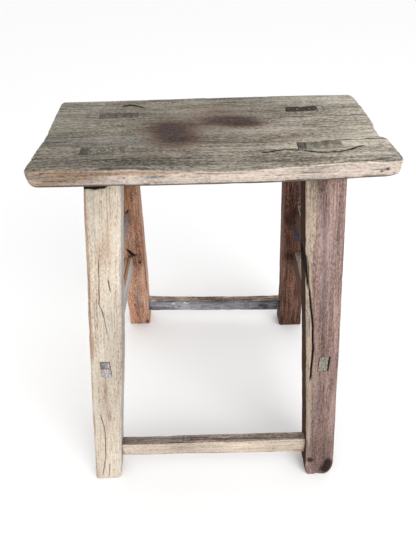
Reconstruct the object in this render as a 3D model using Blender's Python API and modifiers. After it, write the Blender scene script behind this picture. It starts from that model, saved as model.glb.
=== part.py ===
"""A low wooden stool with four splayed legs, held by mortises, tenons and wedges.

Metres, +Z up. The origin is on the floor, below the middle of the stool.
+X runs along the seat board and +Y from front to back.
"""

import bpy
import bmesh
from mathutils import Vector

# ---------------------------------------------------------------- driving dimensions

FIT_GAP = 0.0003            # left between any two pieces that touch
CUT_PAST = 0.005            # how far a cutter runs out past the face it opens

SEAT_HEIGHT = 0.500         # top of the seat board above the floor
SEAT_LENGTH = 0.380
SEAT_DEPTH = 0.177
SEAT_THICKNESS = 0.024
SEAT_CENTRE = (0.0035, 0.0035)
SEAT_CORNER_RADIUS = 0.011
SEAT_ARRIS = 0.006          # rounding worn along the board's long edges and ends

LEG_WIDTH = 0.042           # along X
LEG_DEPTH = 0.034           # along Y
FOOT_WIDTH = 0.038
FOOT_DEPTH = 0.031
FOOT_TAPER_HEIGHT = 0.140   # the legs narrow below this height
LEG_ARRIS = 0.0025

LEG_TENON_WIDTH = 0.038     # along X
LEG_TENON_THICKNESS = 0.015  # along Y
LEG_TENON_ROOT = 0.010      # how far the tenon is housed in its leg, below the shoulder
TENON_SHOULDER = 0.001      # step at the tenon's plain end; the wedge is at the other end

SEAT_WEDGE_HEAD = 0.008     # the seat wedge's length along X at the top of the seat
SEAT_WEDGE_TIP = 0.004      # the same at its lower end

# Where each leg's centre line meets the seat's top and the floor, (x, y). The stool is made by
# eye and a little racked, so the four legs differ.
LEG_LINES = {
    "front_left": ((-0.1111, -0.0464), (-0.1748, -0.1643)),
    "front_right": ((0.1199, -0.0474), (0.1653, -0.1668)),
    "back_left": ((-0.1111, 0.0452), (-0.1531, 0.1668)),
    "back_right": ((0.1167, 0.0494), (0.1708, 0.1518)),
}
# On which end of its tenon each leg's seat wedge sits: -1 at the left, 1 at the right.
SEAT_WEDGE_END = {"front_left": -1, "front_right": -1, "back_left": 1, "back_right": 1}

CROSS_RAIL_STUB = 0.020     # depth of the front and back rails' blind tenons
FRONT_RAIL_THICKNESS = 0.0145
FRONT_RAIL_HEIGHT = 0.032
BACK_RAIL_THICKNESS = 0.017
BACK_RAIL_HEIGHT = 0.022

SIDE_RAIL_STUB = 0.020      # depth of the upper side rails' blind tenons
SIDE_RAIL_THICKNESS = 0.014
SIDE_RAIL_HEIGHT = 0.026
RAIL_TENON_SHOULDER = 0.001  # step between a rail and its tenon, on every side
RAIL_ARRIS = 0.0015

RAIL_WEDGE_LENGTH = 0.026
RAIL_WEDGE_HEAD = 0.010     # height of the rail wedge at the leg's front face
RAIL_WEDGE_TIP = 0.007      # height of its inner end

# Each rail: its two legs, the axis it runs along (0 is X, 1 is Y), its thickness and height, how
# high its centre is at each leg, how far it sits off each leg's centre line across its run, and
# how deep its tenon goes at each leg (None is right through).
RAILS = {
    "front_rail": {
        "legs": ("front_left", "front_right"), "run": 0,
        "section": (FRONT_RAIL_THICKNESS, FRONT_RAIL_HEIGHT),
        "heights": (0.0490, 0.0455), "offsets": (0.0, 0.0),
        "stubs": (CROSS_RAIL_STUB, CROSS_RAIL_STUB),
    },
    "back_rail": {
        "legs": ("back_left", "back_right"), "run": 0,
        "section": (BACK_RAIL_THICKNESS, BACK_RAIL_HEIGHT),
        "heights": (0.0600, 0.0615), "offsets": (0.0, 0.0),
        "stubs": (CROSS_RAIL_STUB, CROSS_RAIL_STUB),
    },
    "left_lower_rail": {
        "legs": ("front_left", "back_left"), "run": 1,
        "section": (SIDE_RAIL_THICKNESS, SIDE_RAIL_HEIGHT),
        "heights": (0.2220, 0.2220), "offsets": (-0.0010, -0.0060),
        "stubs": (None, None),
    },
    "left_upper_rail": {
        "legs": ("front_left", "back_left"), "run": 1,
        "section": (SIDE_RAIL_THICKNESS, SIDE_RAIL_HEIGHT),
        "heights": (0.3320, 0.3320), "offsets": (-0.0030, -0.0045),
        "stubs": (SIDE_RAIL_STUB, SIDE_RAIL_STUB),
    },
    "right_lower_rail": {
        "legs": ("front_right", "back_right"), "run": 1,
        "section": (SIDE_RAIL_THICKNESS, SIDE_RAIL_HEIGHT),
        "heights": (0.2220, 0.2280), "offsets": (0.0030, 0.0045),
        "stubs": (None, None),
    },
    "right_upper_rail": {
        "legs": ("front_right", "back_right"), "run": 1,
        "section": (SIDE_RAIL_THICKNESS, SIDE_RAIL_HEIGHT),
        "heights": (0.3340, 0.3370), "offsets": (0.0030, 0.0025),
        "stubs": (SIDE_RAIL_STUB, SIDE_RAIL_STUB),
    },
}
# The one through tenon that has a wedge over it: the rail, and which of its ends.
WEDGED_RAIL = "left_lower_rail"
WEDGED_END = 0

# Colour, roughness and metallic value of each piece's wood.
WOODS = {
    "seat": ((0.29, 0.25, 0.205), 0.72),
    "front_left_leg": ((0.66, 0.55, 0.43), 0.68),
    "front_right_leg": ((0.31, 0.22, 0.19), 0.62),
    "back_left_leg": ((0.32, 0.18, 0.12), 0.62),
    "back_right_leg": ((0.10, 0.055, 0.042), 0.60),
    "front_rail": ((0.42, 0.34, 0.28), 0.70),
    "back_rail": ((0.20, 0.18, 0.17), 0.72),
    "left_lower_rail": ((0.30, 0.22, 0.18), 0.68),
    "left_upper_rail": ((0.28, 0.20, 0.16), 0.68),
    "right_lower_rail": ((0.31, 0.25, 0.21), 0.68),
    "right_upper_rail": ((0.31, 0.26, 0.22), 0.68),
    "wedge": ((0.24, 0.21, 0.18), 0.75),
}

# ---------------------------------------------------------------- values that follow

SEAT_UNDERSIDE = SEAT_HEIGHT - SEAT_THICKNESS
LEG_SHOULDER = SEAT_UNDERSIDE - FIT_GAP
SETTLE_STEPS = 4            # repeats that settle a rail's end on its leg's sloping face


# ---------------------------------------------------------------- scene and small helpers

def clear_scene():
    """Removes whatever the file holds."""
    for thing in list(bpy.data.objects):
        bpy.data.objects.remove(thing, do_unlink=True)


def new_collection(name):
    """A collection linked to the scene."""
    group = bpy.data.collections.new(name)
    bpy.context.scene.collection.children.link(group)
    return group


def wood(name):
    """A plain wood material."""
    colour, roughness = WOODS[name]
    material = bpy.data.materials.new(name + "_wood")
    material.use_nodes = True
    shader = material.node_tree.nodes["Principled BSDF"]
    shader.inputs["Base Color"].default_value = (*colour, 1.0)
    shader.inputs["Roughness"].default_value = roughness
    shader.inputs["Metallic"].default_value = 0.0
    material.diffuse_color = (*colour, 1.0)
    return material


def block(name, corner, levels=2):
    """A box primitive whose corners are carried to where `corner` puts them.

    corner(side_x, side_y, level) gives a corner's place: side_x and side_y are -1 or 1, and
    level runs from 0 at the bottom to levels - 1 at the top.
    """
    mesh = bpy.data.meshes.new(name)
    shape = bmesh.new()
    bmesh.ops.create_cube(shape, size=2.0)
    if levels > 2:
        posts = [edge for edge in shape.edges if abs(edge.verts[0].co.z - edge.verts[1].co.z) > 1.0]
        bmesh.ops.subdivide_edges(shape, edges=posts, cuts=levels - 2, use_grid_fill=True)
    for vertex in shape.verts:
        side_x = 1 if vertex.co.x > 0 else -1
        side_y = 1 if vertex.co.y > 0 else -1
        level = round((vertex.co.z + 1.0) / 2.0 * (levels - 1))
        vertex.co = Vector(corner(side_x, side_y, level))
    bmesh.ops.recalc_face_normals(shape, faces=shape.faces)
    shape.to_mesh(mesh)
    shape.free()
    return bpy.data.objects.new(name, mesh)


def keep(piece, wood_name):
    """Puts a finished piece in the stool's collection with its own wood."""
    piece.data.materials.append(wood(wood_name))
    stool.objects.link(piece)
    return piece


def guide(piece):
    """Puts a cutter, or a block that another piece absorbs, with the cutters."""
    cutters.objects.link(piece)
    piece.hide_render = True
    piece.display_type = "WIRE"
    return piece


def combine(piece, other, operation):
    """Cuts `other` out of a piece, or joins it on."""
    change = piece.modifiers.new(operation.lower() + "_" + other.name, "BOOLEAN")
    change.operation = operation
    change.solver = "EXACT"
    change.object = other


def weigh_edges(piece, wanted):
    """Marks for the Bevel modifier each edge that wanted(a, b) picks by its end points."""
    shape = bmesh.new()
    shape.from_mesh(piece.data)
    weight = shape.edges.layers.float.new("bevel_weight_edge")
    for edge in shape.edges:
        first, second = (vertex.co for vertex in edge.verts)
        edge[weight] = 1.0 if wanted(first, second) else 0.0
    shape.to_mesh(piece.data)
    shape.free()


def ease(piece, width, segments, by_weight):
    """Rounds a piece's edges: the marked ones, or all the sharp ones."""
    bevel = piece.modifiers.new("ease", "BEVEL")
    bevel.width = width
    bevel.segments = segments
    bevel.limit_method = "WEIGHT" if by_weight else "ANGLE"
    bevel.use_clamp_overlap = True


# ---------------------------------------------------------------- legs

def leg_centre(leg, height):
    """The leg's centre line at a height."""
    top, foot = LEG_LINES[leg]
    share = 1.0 - height / SEAT_HEIGHT
    return [top[axis] + (foot[axis] - top[axis]) * share for axis in (0, 1)]


def leg_size(axis, height):
    """The leg's width (axis 0) or depth (axis 1) at a height."""
    full = (LEG_WIDTH, LEG_DEPTH)[axis]
    foot = (FOOT_WIDTH, FOOT_DEPTH)[axis]
    share = min(1.0, max(0.0, height / FOOT_TAPER_HEIGHT))
    return foot + (full - foot) * share


def leg_block(name, leg, levels):
    """A block that follows the leg's centre line.

    levels lists, from the bottom up, (height, low x, high x, low y, high y), the four sides
    being measured from the centre line at that height.
    """
    def corner(side_x, side_y, level):
        height, low_x, high_x, low_y, high_y = levels[level]
        centre_x, centre_y = leg_centre(leg, height)
        return (
            centre_x + (high_x if side_x > 0 else low_x),
            centre_y + (high_y if side_y > 0 else low_y),
            height,
        )

    return block(name, corner, len(levels))


def body_level(height):
    """The leg's own section at a height, as leg_block reads it."""
    half_width = leg_size(0, height) / 2
    half_depth = leg_size(1, height) / 2
    return (height, -half_width, half_width, -half_depth, half_depth)


def tenon_ends(leg):
    """Low and high x of the leg's tenon, from its centre line. The deeper step is by the wedge."""
    end = SEAT_WEDGE_END[leg]
    plain = -end * (LEG_WIDTH / 2 - TENON_SHOULDER)
    wedged = plain + end * LEG_TENON_WIDTH
    return min(plain, wedged), max(plain, wedged)


def tenon_level(leg, height, grow):
    """The leg tenon's section at a height, grown all round."""
    low, high = tenon_ends(leg)
    half = LEG_TENON_THICKNESS / 2 + grow
    return (height, low - grow, high + grow, -half, half)


def wedge_level(leg, height, grow):
    """The seat wedge's section at a height, grown all round."""
    end = SEAT_WEDGE_END[leg]
    share = (height - SEAT_UNDERSIDE) / SEAT_THICKNESS
    length = SEAT_WEDGE_TIP + (SEAT_WEDGE_HEAD - SEAT_WEDGE_TIP) * share
    near = tenon_ends(leg)[1 if end > 0 else 0] + end * FIT_GAP
    far = near + end * length
    half = LEG_TENON_THICKNESS / 2 + grow
    return (height, min(near, far) - grow, max(near, far) + grow, -half, half)


def make_leg(leg):
    """One leg with its through tenon, and the mortise that it needs in the seat."""
    levels = [body_level(0.0), body_level(FOOT_TAPER_HEIGHT), body_level(LEG_SHOULDER)]
    body = keep(leg_block(leg + "_leg", leg, levels), leg + "_leg")
    weigh_edges(body, lambda a, b: abs(a.z - b.z) > FIT_GAP or a.z < FIT_GAP)
    ease(body, LEG_ARRIS, 2, by_weight=True)

    root = tenon_level(leg, LEG_SHOULDER - LEG_TENON_ROOT, 0.0)
    tenon = leg_block(leg + "_tenon", leg, [root, tenon_level(leg, SEAT_HEIGHT, 0.0)])
    combine(body, guide(tenon), "UNION")

    low, high = SEAT_UNDERSIDE - CUT_PAST, SEAT_HEIGHT + CUT_PAST
    opening = [tenon_level(leg, low, FIT_GAP), tenon_level(leg, high, FIT_GAP)]
    cut = guide(leg_block(leg + "_mortise", leg, opening))
    combine(seat, cut, "DIFFERENCE")
    return body


def make_seat_wedge(leg):
    """The wedge at one end of a leg's tenon, and the room that it needs in the seat."""
    levels = [wedge_level(leg, SEAT_UNDERSIDE, 0.0), wedge_level(leg, SEAT_HEIGHT, 0.0)]
    keep(leg_block(leg + "_seat_wedge", leg, levels), "wedge")
    low, high = SEAT_UNDERSIDE - CUT_PAST, SEAT_HEIGHT + CUT_PAST
    opening = [wedge_level(leg, low, FIT_GAP), wedge_level(leg, high, FIT_GAP)]
    combine(seat, guide(leg_block(leg + "_wedge_room", leg, opening)), "DIFFERENCE")


# ---------------------------------------------------------------- seat

def make_seat():
    """The seat board: a box with its four corners rounded and its edges worn round."""
    def corner(side_x, side_y, level):
        return (
            SEAT_CENTRE[0] + side_x * SEAT_LENGTH / 2,
            SEAT_CENTRE[1] + side_y * SEAT_DEPTH / 2,
            SEAT_HEIGHT if level else SEAT_UNDERSIDE,
        )

    board = keep(block("seat", corner), "seat")
    weigh_edges(board, lambda a, b: abs(a.z - b.z) > FIT_GAP)
    ease(board, SEAT_CORNER_RADIUS, 4, by_weight=True)
    ease(board, SEAT_ARRIS, 3, by_weight=False)
    return board


# ---------------------------------------------------------------- rails

def rail_point(rail, end, reach, across, up):
    """A point of a rail, `reach` past the near face of the leg at that end.

    across and up are measured from the rail's centre line, which joins its two legs. A reach of
    None is the leg's far face.
    """
    run = rail["run"]
    side = 1 - run
    anchors = []
    for leg, height, offset in zip(rail["legs"], rail["heights"], rail["offsets"]):
        anchor = leg_centre(leg, height) + [height]
        anchor[side] += offset
        anchors.append(anchor)
    into = 1 if end else -1
    leg = rail["legs"][end]
    point = list(anchors[end])
    for _ in range(SETTLE_STEPS):
        height = point[2] + up
        depth = leg_size(run, height)
        past = depth if reach is None else reach
        point[run] = leg_centre(leg, height)[run] + into * (past - depth / 2)
        share = (point[run] - anchors[0][run]) / (anchors[1][run] - anchors[0][run])
        for axis in (side, 2):
            point[axis] = anchors[0][axis] + (anchors[1][axis] - anchors[0][axis]) * share
    point[side] += across
    point[2] += up
    return point


def rail_body(name, rail):
    """The rail's full section, from shoulder to shoulder."""
    thickness, height = rail["section"]

    def corner(side_x, side_y, level):
        along, across = (side_x, side_y) if rail["run"] == 0 else (side_y, side_x)
        end = 1 if along > 0 else 0
        up = height / 2 if level else -height / 2
        return rail_point(rail, end, -FIT_GAP, across * thickness / 2, up)

    return block(name, corner)


def end_block(name, rail, end, start, stop, half, low, high):
    """A block at one end of a rail, from reach `start` to reach `stop`.

    half is half its thickness. low and high hold its lower and upper sides, each measured from
    the rail's centre line at its start and at its stop.
    """
    def corner(side_x, side_y, level):
        along, across = (side_x, side_y) if rail["run"] == 0 else (side_y, side_x)
        outer = (along > 0) == (end == 1)
        reach = stop if outer else start
        up = (high if level else low)[1 if outer else 0]
        return rail_point(rail, end, reach, across * half, up)

    return block(name, corner)


def tenon_section(name, rail, end):
    """Half thickness, lower side and upper side of the rail's tenon at one end."""
    thickness, height = rail["section"]
    half = thickness / 2 - RAIL_TENON_SHOULDER
    low = -height / 2 + RAIL_TENON_SHOULDER
    high = -low
    if name == WEDGED_RAIL and end == WEDGED_END:
        high -= RAIL_WEDGE_HEAD + FIT_GAP
    return half, low, high


def make_rail(name, rail):
    """One rail with a tenon at each end, and the mortises that they need in the legs."""
    body = keep(rail_body(name, rail), name)
    ease(body, RAIL_ARRIS, 1, by_weight=False)
    for end, leg in enumerate(rail["legs"]):
        half, low, high = tenon_section(name, rail, end)
        stub = rail["stubs"][end]
        root = -leg_size(rail["run"], rail["heights"][end])
        tag = name + "_" + leg
        tenon = end_block(tag + "_tenon", rail, end, root, stub, half, (low, low), (high, high))
        combine(body, guide(tenon), "UNION")
        deepest = leg_size(rail["run"], rail["heights"][end]) + CUT_PAST if stub is None else stub + FIT_GAP
        sides = (low - FIT_GAP,) * 2, (high + FIT_GAP,) * 2
        cut = end_block(tag + "_mortise", rail, end, -CUT_PAST, deepest, half + FIT_GAP, *sides)
        combine(legs[leg], guide(cut), "DIFFERENCE")


def make_rail_wedge():
    """The wedge over one through tenon, and the taller stretch of mortise that it needs."""
    rail = RAILS[WEDGED_RAIL]
    leg = rail["legs"][WEDGED_END]
    half, _, tenon_top = tenon_section(WEDGED_RAIL, rail, WEDGED_END)
    face = leg_size(rail["run"], rail["heights"][WEDGED_END])
    low = tenon_top + FIT_GAP
    high = (low + RAIL_WEDGE_TIP, low + RAIL_WEDGE_HEAD)
    start = face - RAIL_WEDGE_LENGTH
    wedge = end_block(WEDGED_RAIL + "_wedge", rail, WEDGED_END, start, None, half, (low, low), high)
    keep(wedge, "wedge")
    slope = (RAIL_WEDGE_HEAD - RAIL_WEDGE_TIP) / RAIL_WEDGE_LENGTH
    roof = (high[0] + FIT_GAP - slope * FIT_GAP, high[1] + FIT_GAP + slope * CUT_PAST)
    floor = (tenon_top, tenon_top)
    room = end_block(
        WEDGED_RAIL + "_wedge_room", rail, WEDGED_END,
        start - FIT_GAP, face + CUT_PAST, half + FIT_GAP, floor, roof)
    combine(legs[leg], guide(room), "DIFFERENCE")


# ---------------------------------------------------------------- the stool

clear_scene()
stool = new_collection("milking_stool")
cutters = new_collection("stool_cutters")

seat = make_seat()
legs = {name: make_leg(name) for name in LEG_LINES}
for leg_name in LEG_LINES:
    make_seat_wedge(leg_name)
for rail_name, rail_plan in RAILS.items():
    make_rail(rail_name, rail_plan)
make_rail_wedge()
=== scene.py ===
import math
from dataclasses import dataclass

import bpy
import numpy as np
from bpy.props import FloatProperty, FloatVectorProperty, PointerProperty
from mathutils import Matrix, Vector


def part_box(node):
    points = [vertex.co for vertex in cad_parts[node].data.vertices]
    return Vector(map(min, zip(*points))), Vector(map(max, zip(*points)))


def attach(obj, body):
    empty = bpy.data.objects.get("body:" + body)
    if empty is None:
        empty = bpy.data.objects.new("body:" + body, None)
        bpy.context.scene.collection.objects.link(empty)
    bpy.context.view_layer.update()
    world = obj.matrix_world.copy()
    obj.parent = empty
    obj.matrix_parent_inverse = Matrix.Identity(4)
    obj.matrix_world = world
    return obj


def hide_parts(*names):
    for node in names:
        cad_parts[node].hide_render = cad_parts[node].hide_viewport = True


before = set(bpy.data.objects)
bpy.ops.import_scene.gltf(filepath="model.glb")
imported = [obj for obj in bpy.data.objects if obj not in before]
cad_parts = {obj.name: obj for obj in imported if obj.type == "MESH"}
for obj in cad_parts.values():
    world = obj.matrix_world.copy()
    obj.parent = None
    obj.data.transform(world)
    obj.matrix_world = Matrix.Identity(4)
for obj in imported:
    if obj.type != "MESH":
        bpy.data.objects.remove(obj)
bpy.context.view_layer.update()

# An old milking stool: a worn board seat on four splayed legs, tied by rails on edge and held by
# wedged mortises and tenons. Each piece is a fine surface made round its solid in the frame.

bl_info = {
    "name": "Milking stool",
    "version": (1, 0, 0),
    "blender": (4, 5, 0),
    "location": "View3D > Sidebar > Stool",
    "description": "Makes an old wooden milking stool, piece by piece, with its worn wood",
    "category": "Object",
}

MM = 0.001
LEGS = ("front_left", "front_right", "back_left", "back_right")
X_AXIS = np.array((1.0, 0.0, 0.0))
Y_AXIS = np.array((0.0, 1.0, 0.0))
Z_AXIS = np.array((0.0, 0.0, 1.0))


# ---------------------------------------------------------------- sizes and colours to change

def length(name, description, default):
    """A length that a user can change."""
    return FloatProperty(name=name, description=description, default=default, min=0.0, unit="LENGTH")


def colour(name, description, default):
    """A linear colour that a user can change."""
    return FloatVectorProperty(
        name=name, description=description, default=default, size=3, min=0.0, max=1.0, subtype="COLOR")


class StoolSizes(bpy.types.PropertyGroup):
    """How fine the surfaces are and how worn the wood is."""

    spacing: length("Spacing", "Distance between surface points along the grain", 0.0017)
    fine_spacing: length("Fine spacing", "Distance between surface points across the grain", 0.001)
    seat_edge: length("Seat edge", "How far the seat's edges are worn round in plan", 0.0045)
    seat_top_edge: length("Seat top edge", "Depth of the rounding above the seat's edge", 0.0036)
    seat_low_edge: length("Seat low edge", "Depth of the rounding below the seat's edge", 0.0065)
    front_wear: length("Front wear", "How far the front edge is worn down in its middle", 0.0055)
    leg_edge: length("Leg edge", "Rounding of the legs' long edges", 0.0028)
    rail_edge: length("Rail edge", "Rounding of the rails' long edges", 0.0024)
    foot_edge: length("Foot edge", "Rounding round the feet", 0.0015)
    foot_taper: length("Foot taper", "Height below which the legs narrow", 0.14)
    joint_gap: length("Joint gap", "Dark gap round a tenon in its mortise", 0.0004)


# each wood's three tones, as linear colours
TONES = {"dark": "Dark grain", "mid": "Middle tone", "pale": "Pale grain"}
WOOD_TONES = {
    "seat": ((0.062, 0.05, 0.037), (0.218, 0.193, 0.154), (0.4, 0.368, 0.31)),
    "front_left": ((0.3, 0.215, 0.15), (0.6, 0.515, 0.415), (0.76, 0.69, 0.59)),
    "front_right": ((0.095, 0.055, 0.046), (0.262, 0.174, 0.15), (0.45, 0.325, 0.285)),
    "back_left": ((0.12, 0.05, 0.028), (0.37, 0.192, 0.124), (0.54, 0.36, 0.265)),
    "back_right": ((0.016, 0.007, 0.005), (0.082, 0.036, 0.025), (0.2, 0.105, 0.072)),
    "rail": ((0.075, 0.052, 0.04), (0.215, 0.17, 0.139), (0.42, 0.35, 0.29)),
}


class StoolColours(bpy.types.PropertyGroup):
    """The woods' stains, marks and bare faces. The three tones of each wood are added below."""

    seat_edge: colour("Seat edge", "Bare wood on the seat's worn edges", (0.545, 0.46, 0.395))
    seat_stain: colour("Seat stain", "Old dark stains on the seat", (0.04, 0.031, 0.035))
    rail_front: colour("Rail front", "Paler front of the front rail", (0.54, 0.45, 0.37))
    sapwood: colour("Sapwood", "Pale strip along one edge of a leg", (0.43, 0.342, 0.268))
    crack: colour("Crack", "Inside of a crack or a gap", (0.012, 0.009, 0.008))
    paint: colour("Paint", "Old specks of pale paint", (0.62, 0.64, 0.68))
    floor: colour("Floor", "The pale floor", (0.95, 0.95, 0.95))


for wood_name, wood_colours in WOOD_TONES.items():
    words = wood_name.replace("_", " ")
    for (tone_name, meaning), default_colour in zip(TONES.items(), wood_colours):
        StoolColours.__annotations__[f"{wood_name}_{tone_name}"] = colour(
            f"{words.capitalize()} {tone_name}", f"{meaning} of the {words} wood", default_colour)


def tones(shades, wood_name):
    """The dark, middle and pale tones of a wood, as the user has them."""
    return [getattr(shades, f"{wood_name}_{tone}")[:] for tone in TONES]


# ---------------------------------------------------------------- surfaces worked out with numpy

LOW_BITS = 0xFFFFFFFF
SEED_PRIME = 668265263
MIX_PRIMES = (2246822519, 3266489917)
CELL_PRIMES = (73856093, 19349663, 83492791)
SEED_SHIFT = 31.7           # how far the noise's cells move from one seed to the next


def scramble(number, seed):
    """A value from 0 to 1 for each whole number: its bits are mixed by shifts and products."""
    mixed = (number ^ (seed * SEED_PRIME)) & LOW_BITS
    for prime in MIX_PRIMES:
        mixed = ((mixed ^ (mixed >> 15)) * prime) & LOW_BITS
    return (mixed ^ (mixed >> 16)) / float(LOW_BITS)


def noise(points, cell, seed):
    """Smooth noise from -1 to 1.

    Space is divided into cells of the three given lengths, and each cell corner has a scrambled
    value. A point takes the blend of its eight corners' values, by the smooth step 3t^2 - 2t^3
    along each direction.
    """
    place = points / np.asarray(cell, float) + SEED_SHIFT * seed
    whole = np.floor(place).astype(np.int64)
    part = place - whole
    part = part * part * (3.0 - 2.0 * part)
    total = np.zeros(len(points))
    for corner in np.ndindex(2, 2, 2):
        weight = np.prod(np.where(corner, part, 1.0 - part), axis=1)
        x, y, z = ((whole + corner) * CELL_PRIMES).T
        total += weight * scramble(x ^ y ^ z, seed)
    return 2.0 * total - 1.0


def waves(points, seed, *sizes):
    """The sum of noises, each of its own (height, cell), with seeds that count up from the first."""
    return sum(height * noise(points, cell, seed + order) for order, (height, cell) in enumerate(sizes))


def peaks(points, cell, seed, level):
    """How far the noise stands above a level, and 0 below it."""
    return np.clip(noise(points, cell, seed) - level, 0, 1)


def ease(value, low, high):
    """0 below low and 1 above high, with the smooth step 3t^2 - 2t^3 between them."""
    share = np.clip((value - low) / (high - low), 0.0, 1.0)
    return share * share * (3.0 - 2.0 * share)


def bell(value, centre, width):
    """The bell curve exp(-((value - centre) / width)^2)."""
    return np.exp(-((value - centre) / width) ** 2)


def spread(low, high, spacing, edge, steps):
    """Places from low to high: `steps` of them in the `edge` next to each end, by the rule
    edge * (1 - cos), and the rest `spacing` apart."""
    near = low + edge * (1.0 - np.cos(np.linspace(0.0, math.pi / 2, steps + 1)))
    count = max(2, round((high - low - 2 * edge) / spacing))
    middle = np.linspace(low + edge, high - edge, count + 1)[1:-1]
    return np.concatenate((near, middle, (low + high) - near[::-1]))


def closer(places, low, high, spacing):
    """The same places, with more of them, `spacing` apart, from low to high."""
    kept = places[(places < low - spacing / 2) | (places > high + spacing / 2)]
    extra = np.arange(low, high + spacing / 2, spacing)
    return np.sort(np.concatenate((kept, extra)))


def sheet(grid, turned=False):
    """The four-sided faces of a grid of point numbers, turned over if need be."""
    ring = (grid[:-1, :-1], grid[1:, :-1], grid[1:, 1:], grid[:-1, 1:])
    faces = np.stack(ring, axis=-1).reshape(-1, 4)
    return faces[:, ::-1] if turned else faces


def box_surface(xs, ys, zs):
    """The skin of a box as six grids that share their edges.

    xs, ys and zs are the places of the grid lines. Every lattice point that isn't inside the box
    gets a number, so the six grids are welded. Returns the points and the four-sided faces,
    facing outwards.
    """
    skin = np.ones((len(xs), len(ys), len(zs)), bool)
    skin[1:-1, 1:-1, 1:-1] = False
    number = np.cumsum(skin.ravel()).reshape(skin.shape) - 1
    i, j, k = np.nonzero(skin)
    points = np.stack((xs[i], ys[j], zs[k]), axis=1)
    sides = (
        sheet(number[:, :, 0], True), sheet(number[:, :, -1]), sheet(number[0], True),
        sheet(number[-1]), sheet(number[:, 0]), sheet(number[:, -1], True),
    )
    return points, np.concatenate(sides)


def normals(points, faces):
    """The unit normal at each point: the sum of its faces' cross products, made one long."""
    corner = points[faces]
    cross = np.cross(corner[:, 2] - corner[:, 0], corner[:, 3] - corner[:, 1])
    total = np.zeros_like(points)
    for side in range(4):
        for axis in range(3):
            total[:, axis] += np.bincount(faces[:, side], cross[:, axis], len(points))
    size = np.linalg.norm(total, axis=1, keepdims=True)
    return total / np.maximum(size, 1e-20)


@dataclass
class Bar:
    """A bar of wood that follows a line.

    centre holds a point for each section. reach holds the section's four distances from it:
    against the side direction, along it, against the up direction and along it. radii holds the
    rounding of the section's four edges: low side and low up, high side and low up, low side and
    high up, high side and high up. lean is how far a section slopes along the run for each metre
    up.
    """

    run: int
    side: np.ndarray
    up: np.ndarray
    centre: np.ndarray
    reach: np.ndarray
    radii: np.ndarray
    lean: np.ndarray

    def surface(self, columns, rows):
        """The bar's skin, from a box skin whose columns and rows run from -1 to 1.

        A point goes to its share of its section's reach. In the square at each corner of the
        section, where both of its distances d from the square's inner corner count, it is pulled
        in by max(d) / length(d), which turns the square into a quarter disc.
        """
        points, faces = box_surface(columns, rows, np.arange(len(self.centre), dtype=float))
        level = points[:, 2].astype(int)
        reach = self.reach[level]
        side = points[:, 0] * np.where(points[:, 0] < 0, reach[:, 0], reach[:, 1])
        rise = points[:, 1] * np.where(points[:, 1] < 0, reach[:, 2], reach[:, 3])
        corner = (points[:, 0] > 0) + 2 * (points[:, 1] > 0)
        radius = self.radii[level, corner]
        inner_side = np.clip(side, radius - reach[:, 0], reach[:, 1] - radius)
        inner_rise = np.clip(rise, radius - reach[:, 2], reach[:, 3] - radius)
        off_side, off_rise = side - inner_side, rise - inner_rise
        size = np.hypot(off_side, off_rise)
        pull = np.maximum(abs(off_side), abs(off_rise)) / np.maximum(size, 1e-12)
        pull = np.where(size > 1e-12, pull, 1.0)
        side = inner_side + off_side * pull
        rise = inner_rise + off_rise * pull
        place = self.centre[level] + side[:, None] * self.side + rise[:, None] * self.up
        place[:, self.run] += self.lean[level] * rise
        return place, faces

    def local(self, points):
        """Three columns: each point's place along the run, and its side and rise from the
        centre line."""
        along = points[:, self.run]
        line = self.centre[:, self.run]
        centre = np.stack([np.interp(along, line, self.centre[:, axis]) for axis in range(3)], axis=1)
        return np.stack((along, (points - centre) @ self.side, (points - centre) @ self.up), axis=1)

    def reach_at(self, along):
        """The four reaches of the section at each place along the run."""
        line = self.centre[:, self.run]
        return np.stack([np.interp(along, line, self.reach[:, side]) for side in range(4)], axis=1)

    def arris(self, points, width):
        """1 on the bar's long edges, and less away from them by a bell curve of that width."""
        along, side, rise = self.local(points).T
        reach = self.reach_at(along)
        from_side = np.minimum(side + reach[:, 0], reach[:, 1] - side)
        from_rise = np.minimum(rise + reach[:, 2], reach[:, 3] - rise)
        return bell(np.hypot(from_side, from_rise), 0.0, width)


def even_bar(run, side, up, line, reach, edge=0.0, lean=0.0):
    """A bar with a section at each given point, and the same rounding and lean all along."""
    count = len(line)
    return Bar(
        run, side, up, np.array(line, float), np.array(reach, float),
        np.full((count, 4), edge), np.full(count, lean))


def crack(along, across, route, width, fade):
    """How far in a crack each point is, from 0 to 1.

    The crack's middle follows its route of (along, across) points. Its section is a bell curve,
    and it narrows and fades to nothing over the length `fade` at both ends.
    """
    runs, sides = np.array(sorted(route)).T
    middle = np.interp(along, runs, sides)
    ends = ease(along, runs[0] - fade, runs[0] + fade) * ease(-along, -runs[-1] - fade, -runs[-1] + fade)
    return ends * bell(across, middle, width * (0.45 + 0.55 * ends))


def spots(first, second, places_and_sizes):
    """The sum of bell-shaped spots: (place 1, place 2, half size 1, half size 2, strength)."""
    total = 0.0 * first
    for at_first, at_second, wide, high, power in places_and_sizes:
        total += power * np.exp(-((first - at_first) / wide) ** 2 - ((second - at_second) / high) ** 2)
    return total


# ---------------------------------------------------------------- from arrays to pieces

SHARP_ANGLE = math.radians(40.0)


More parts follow.
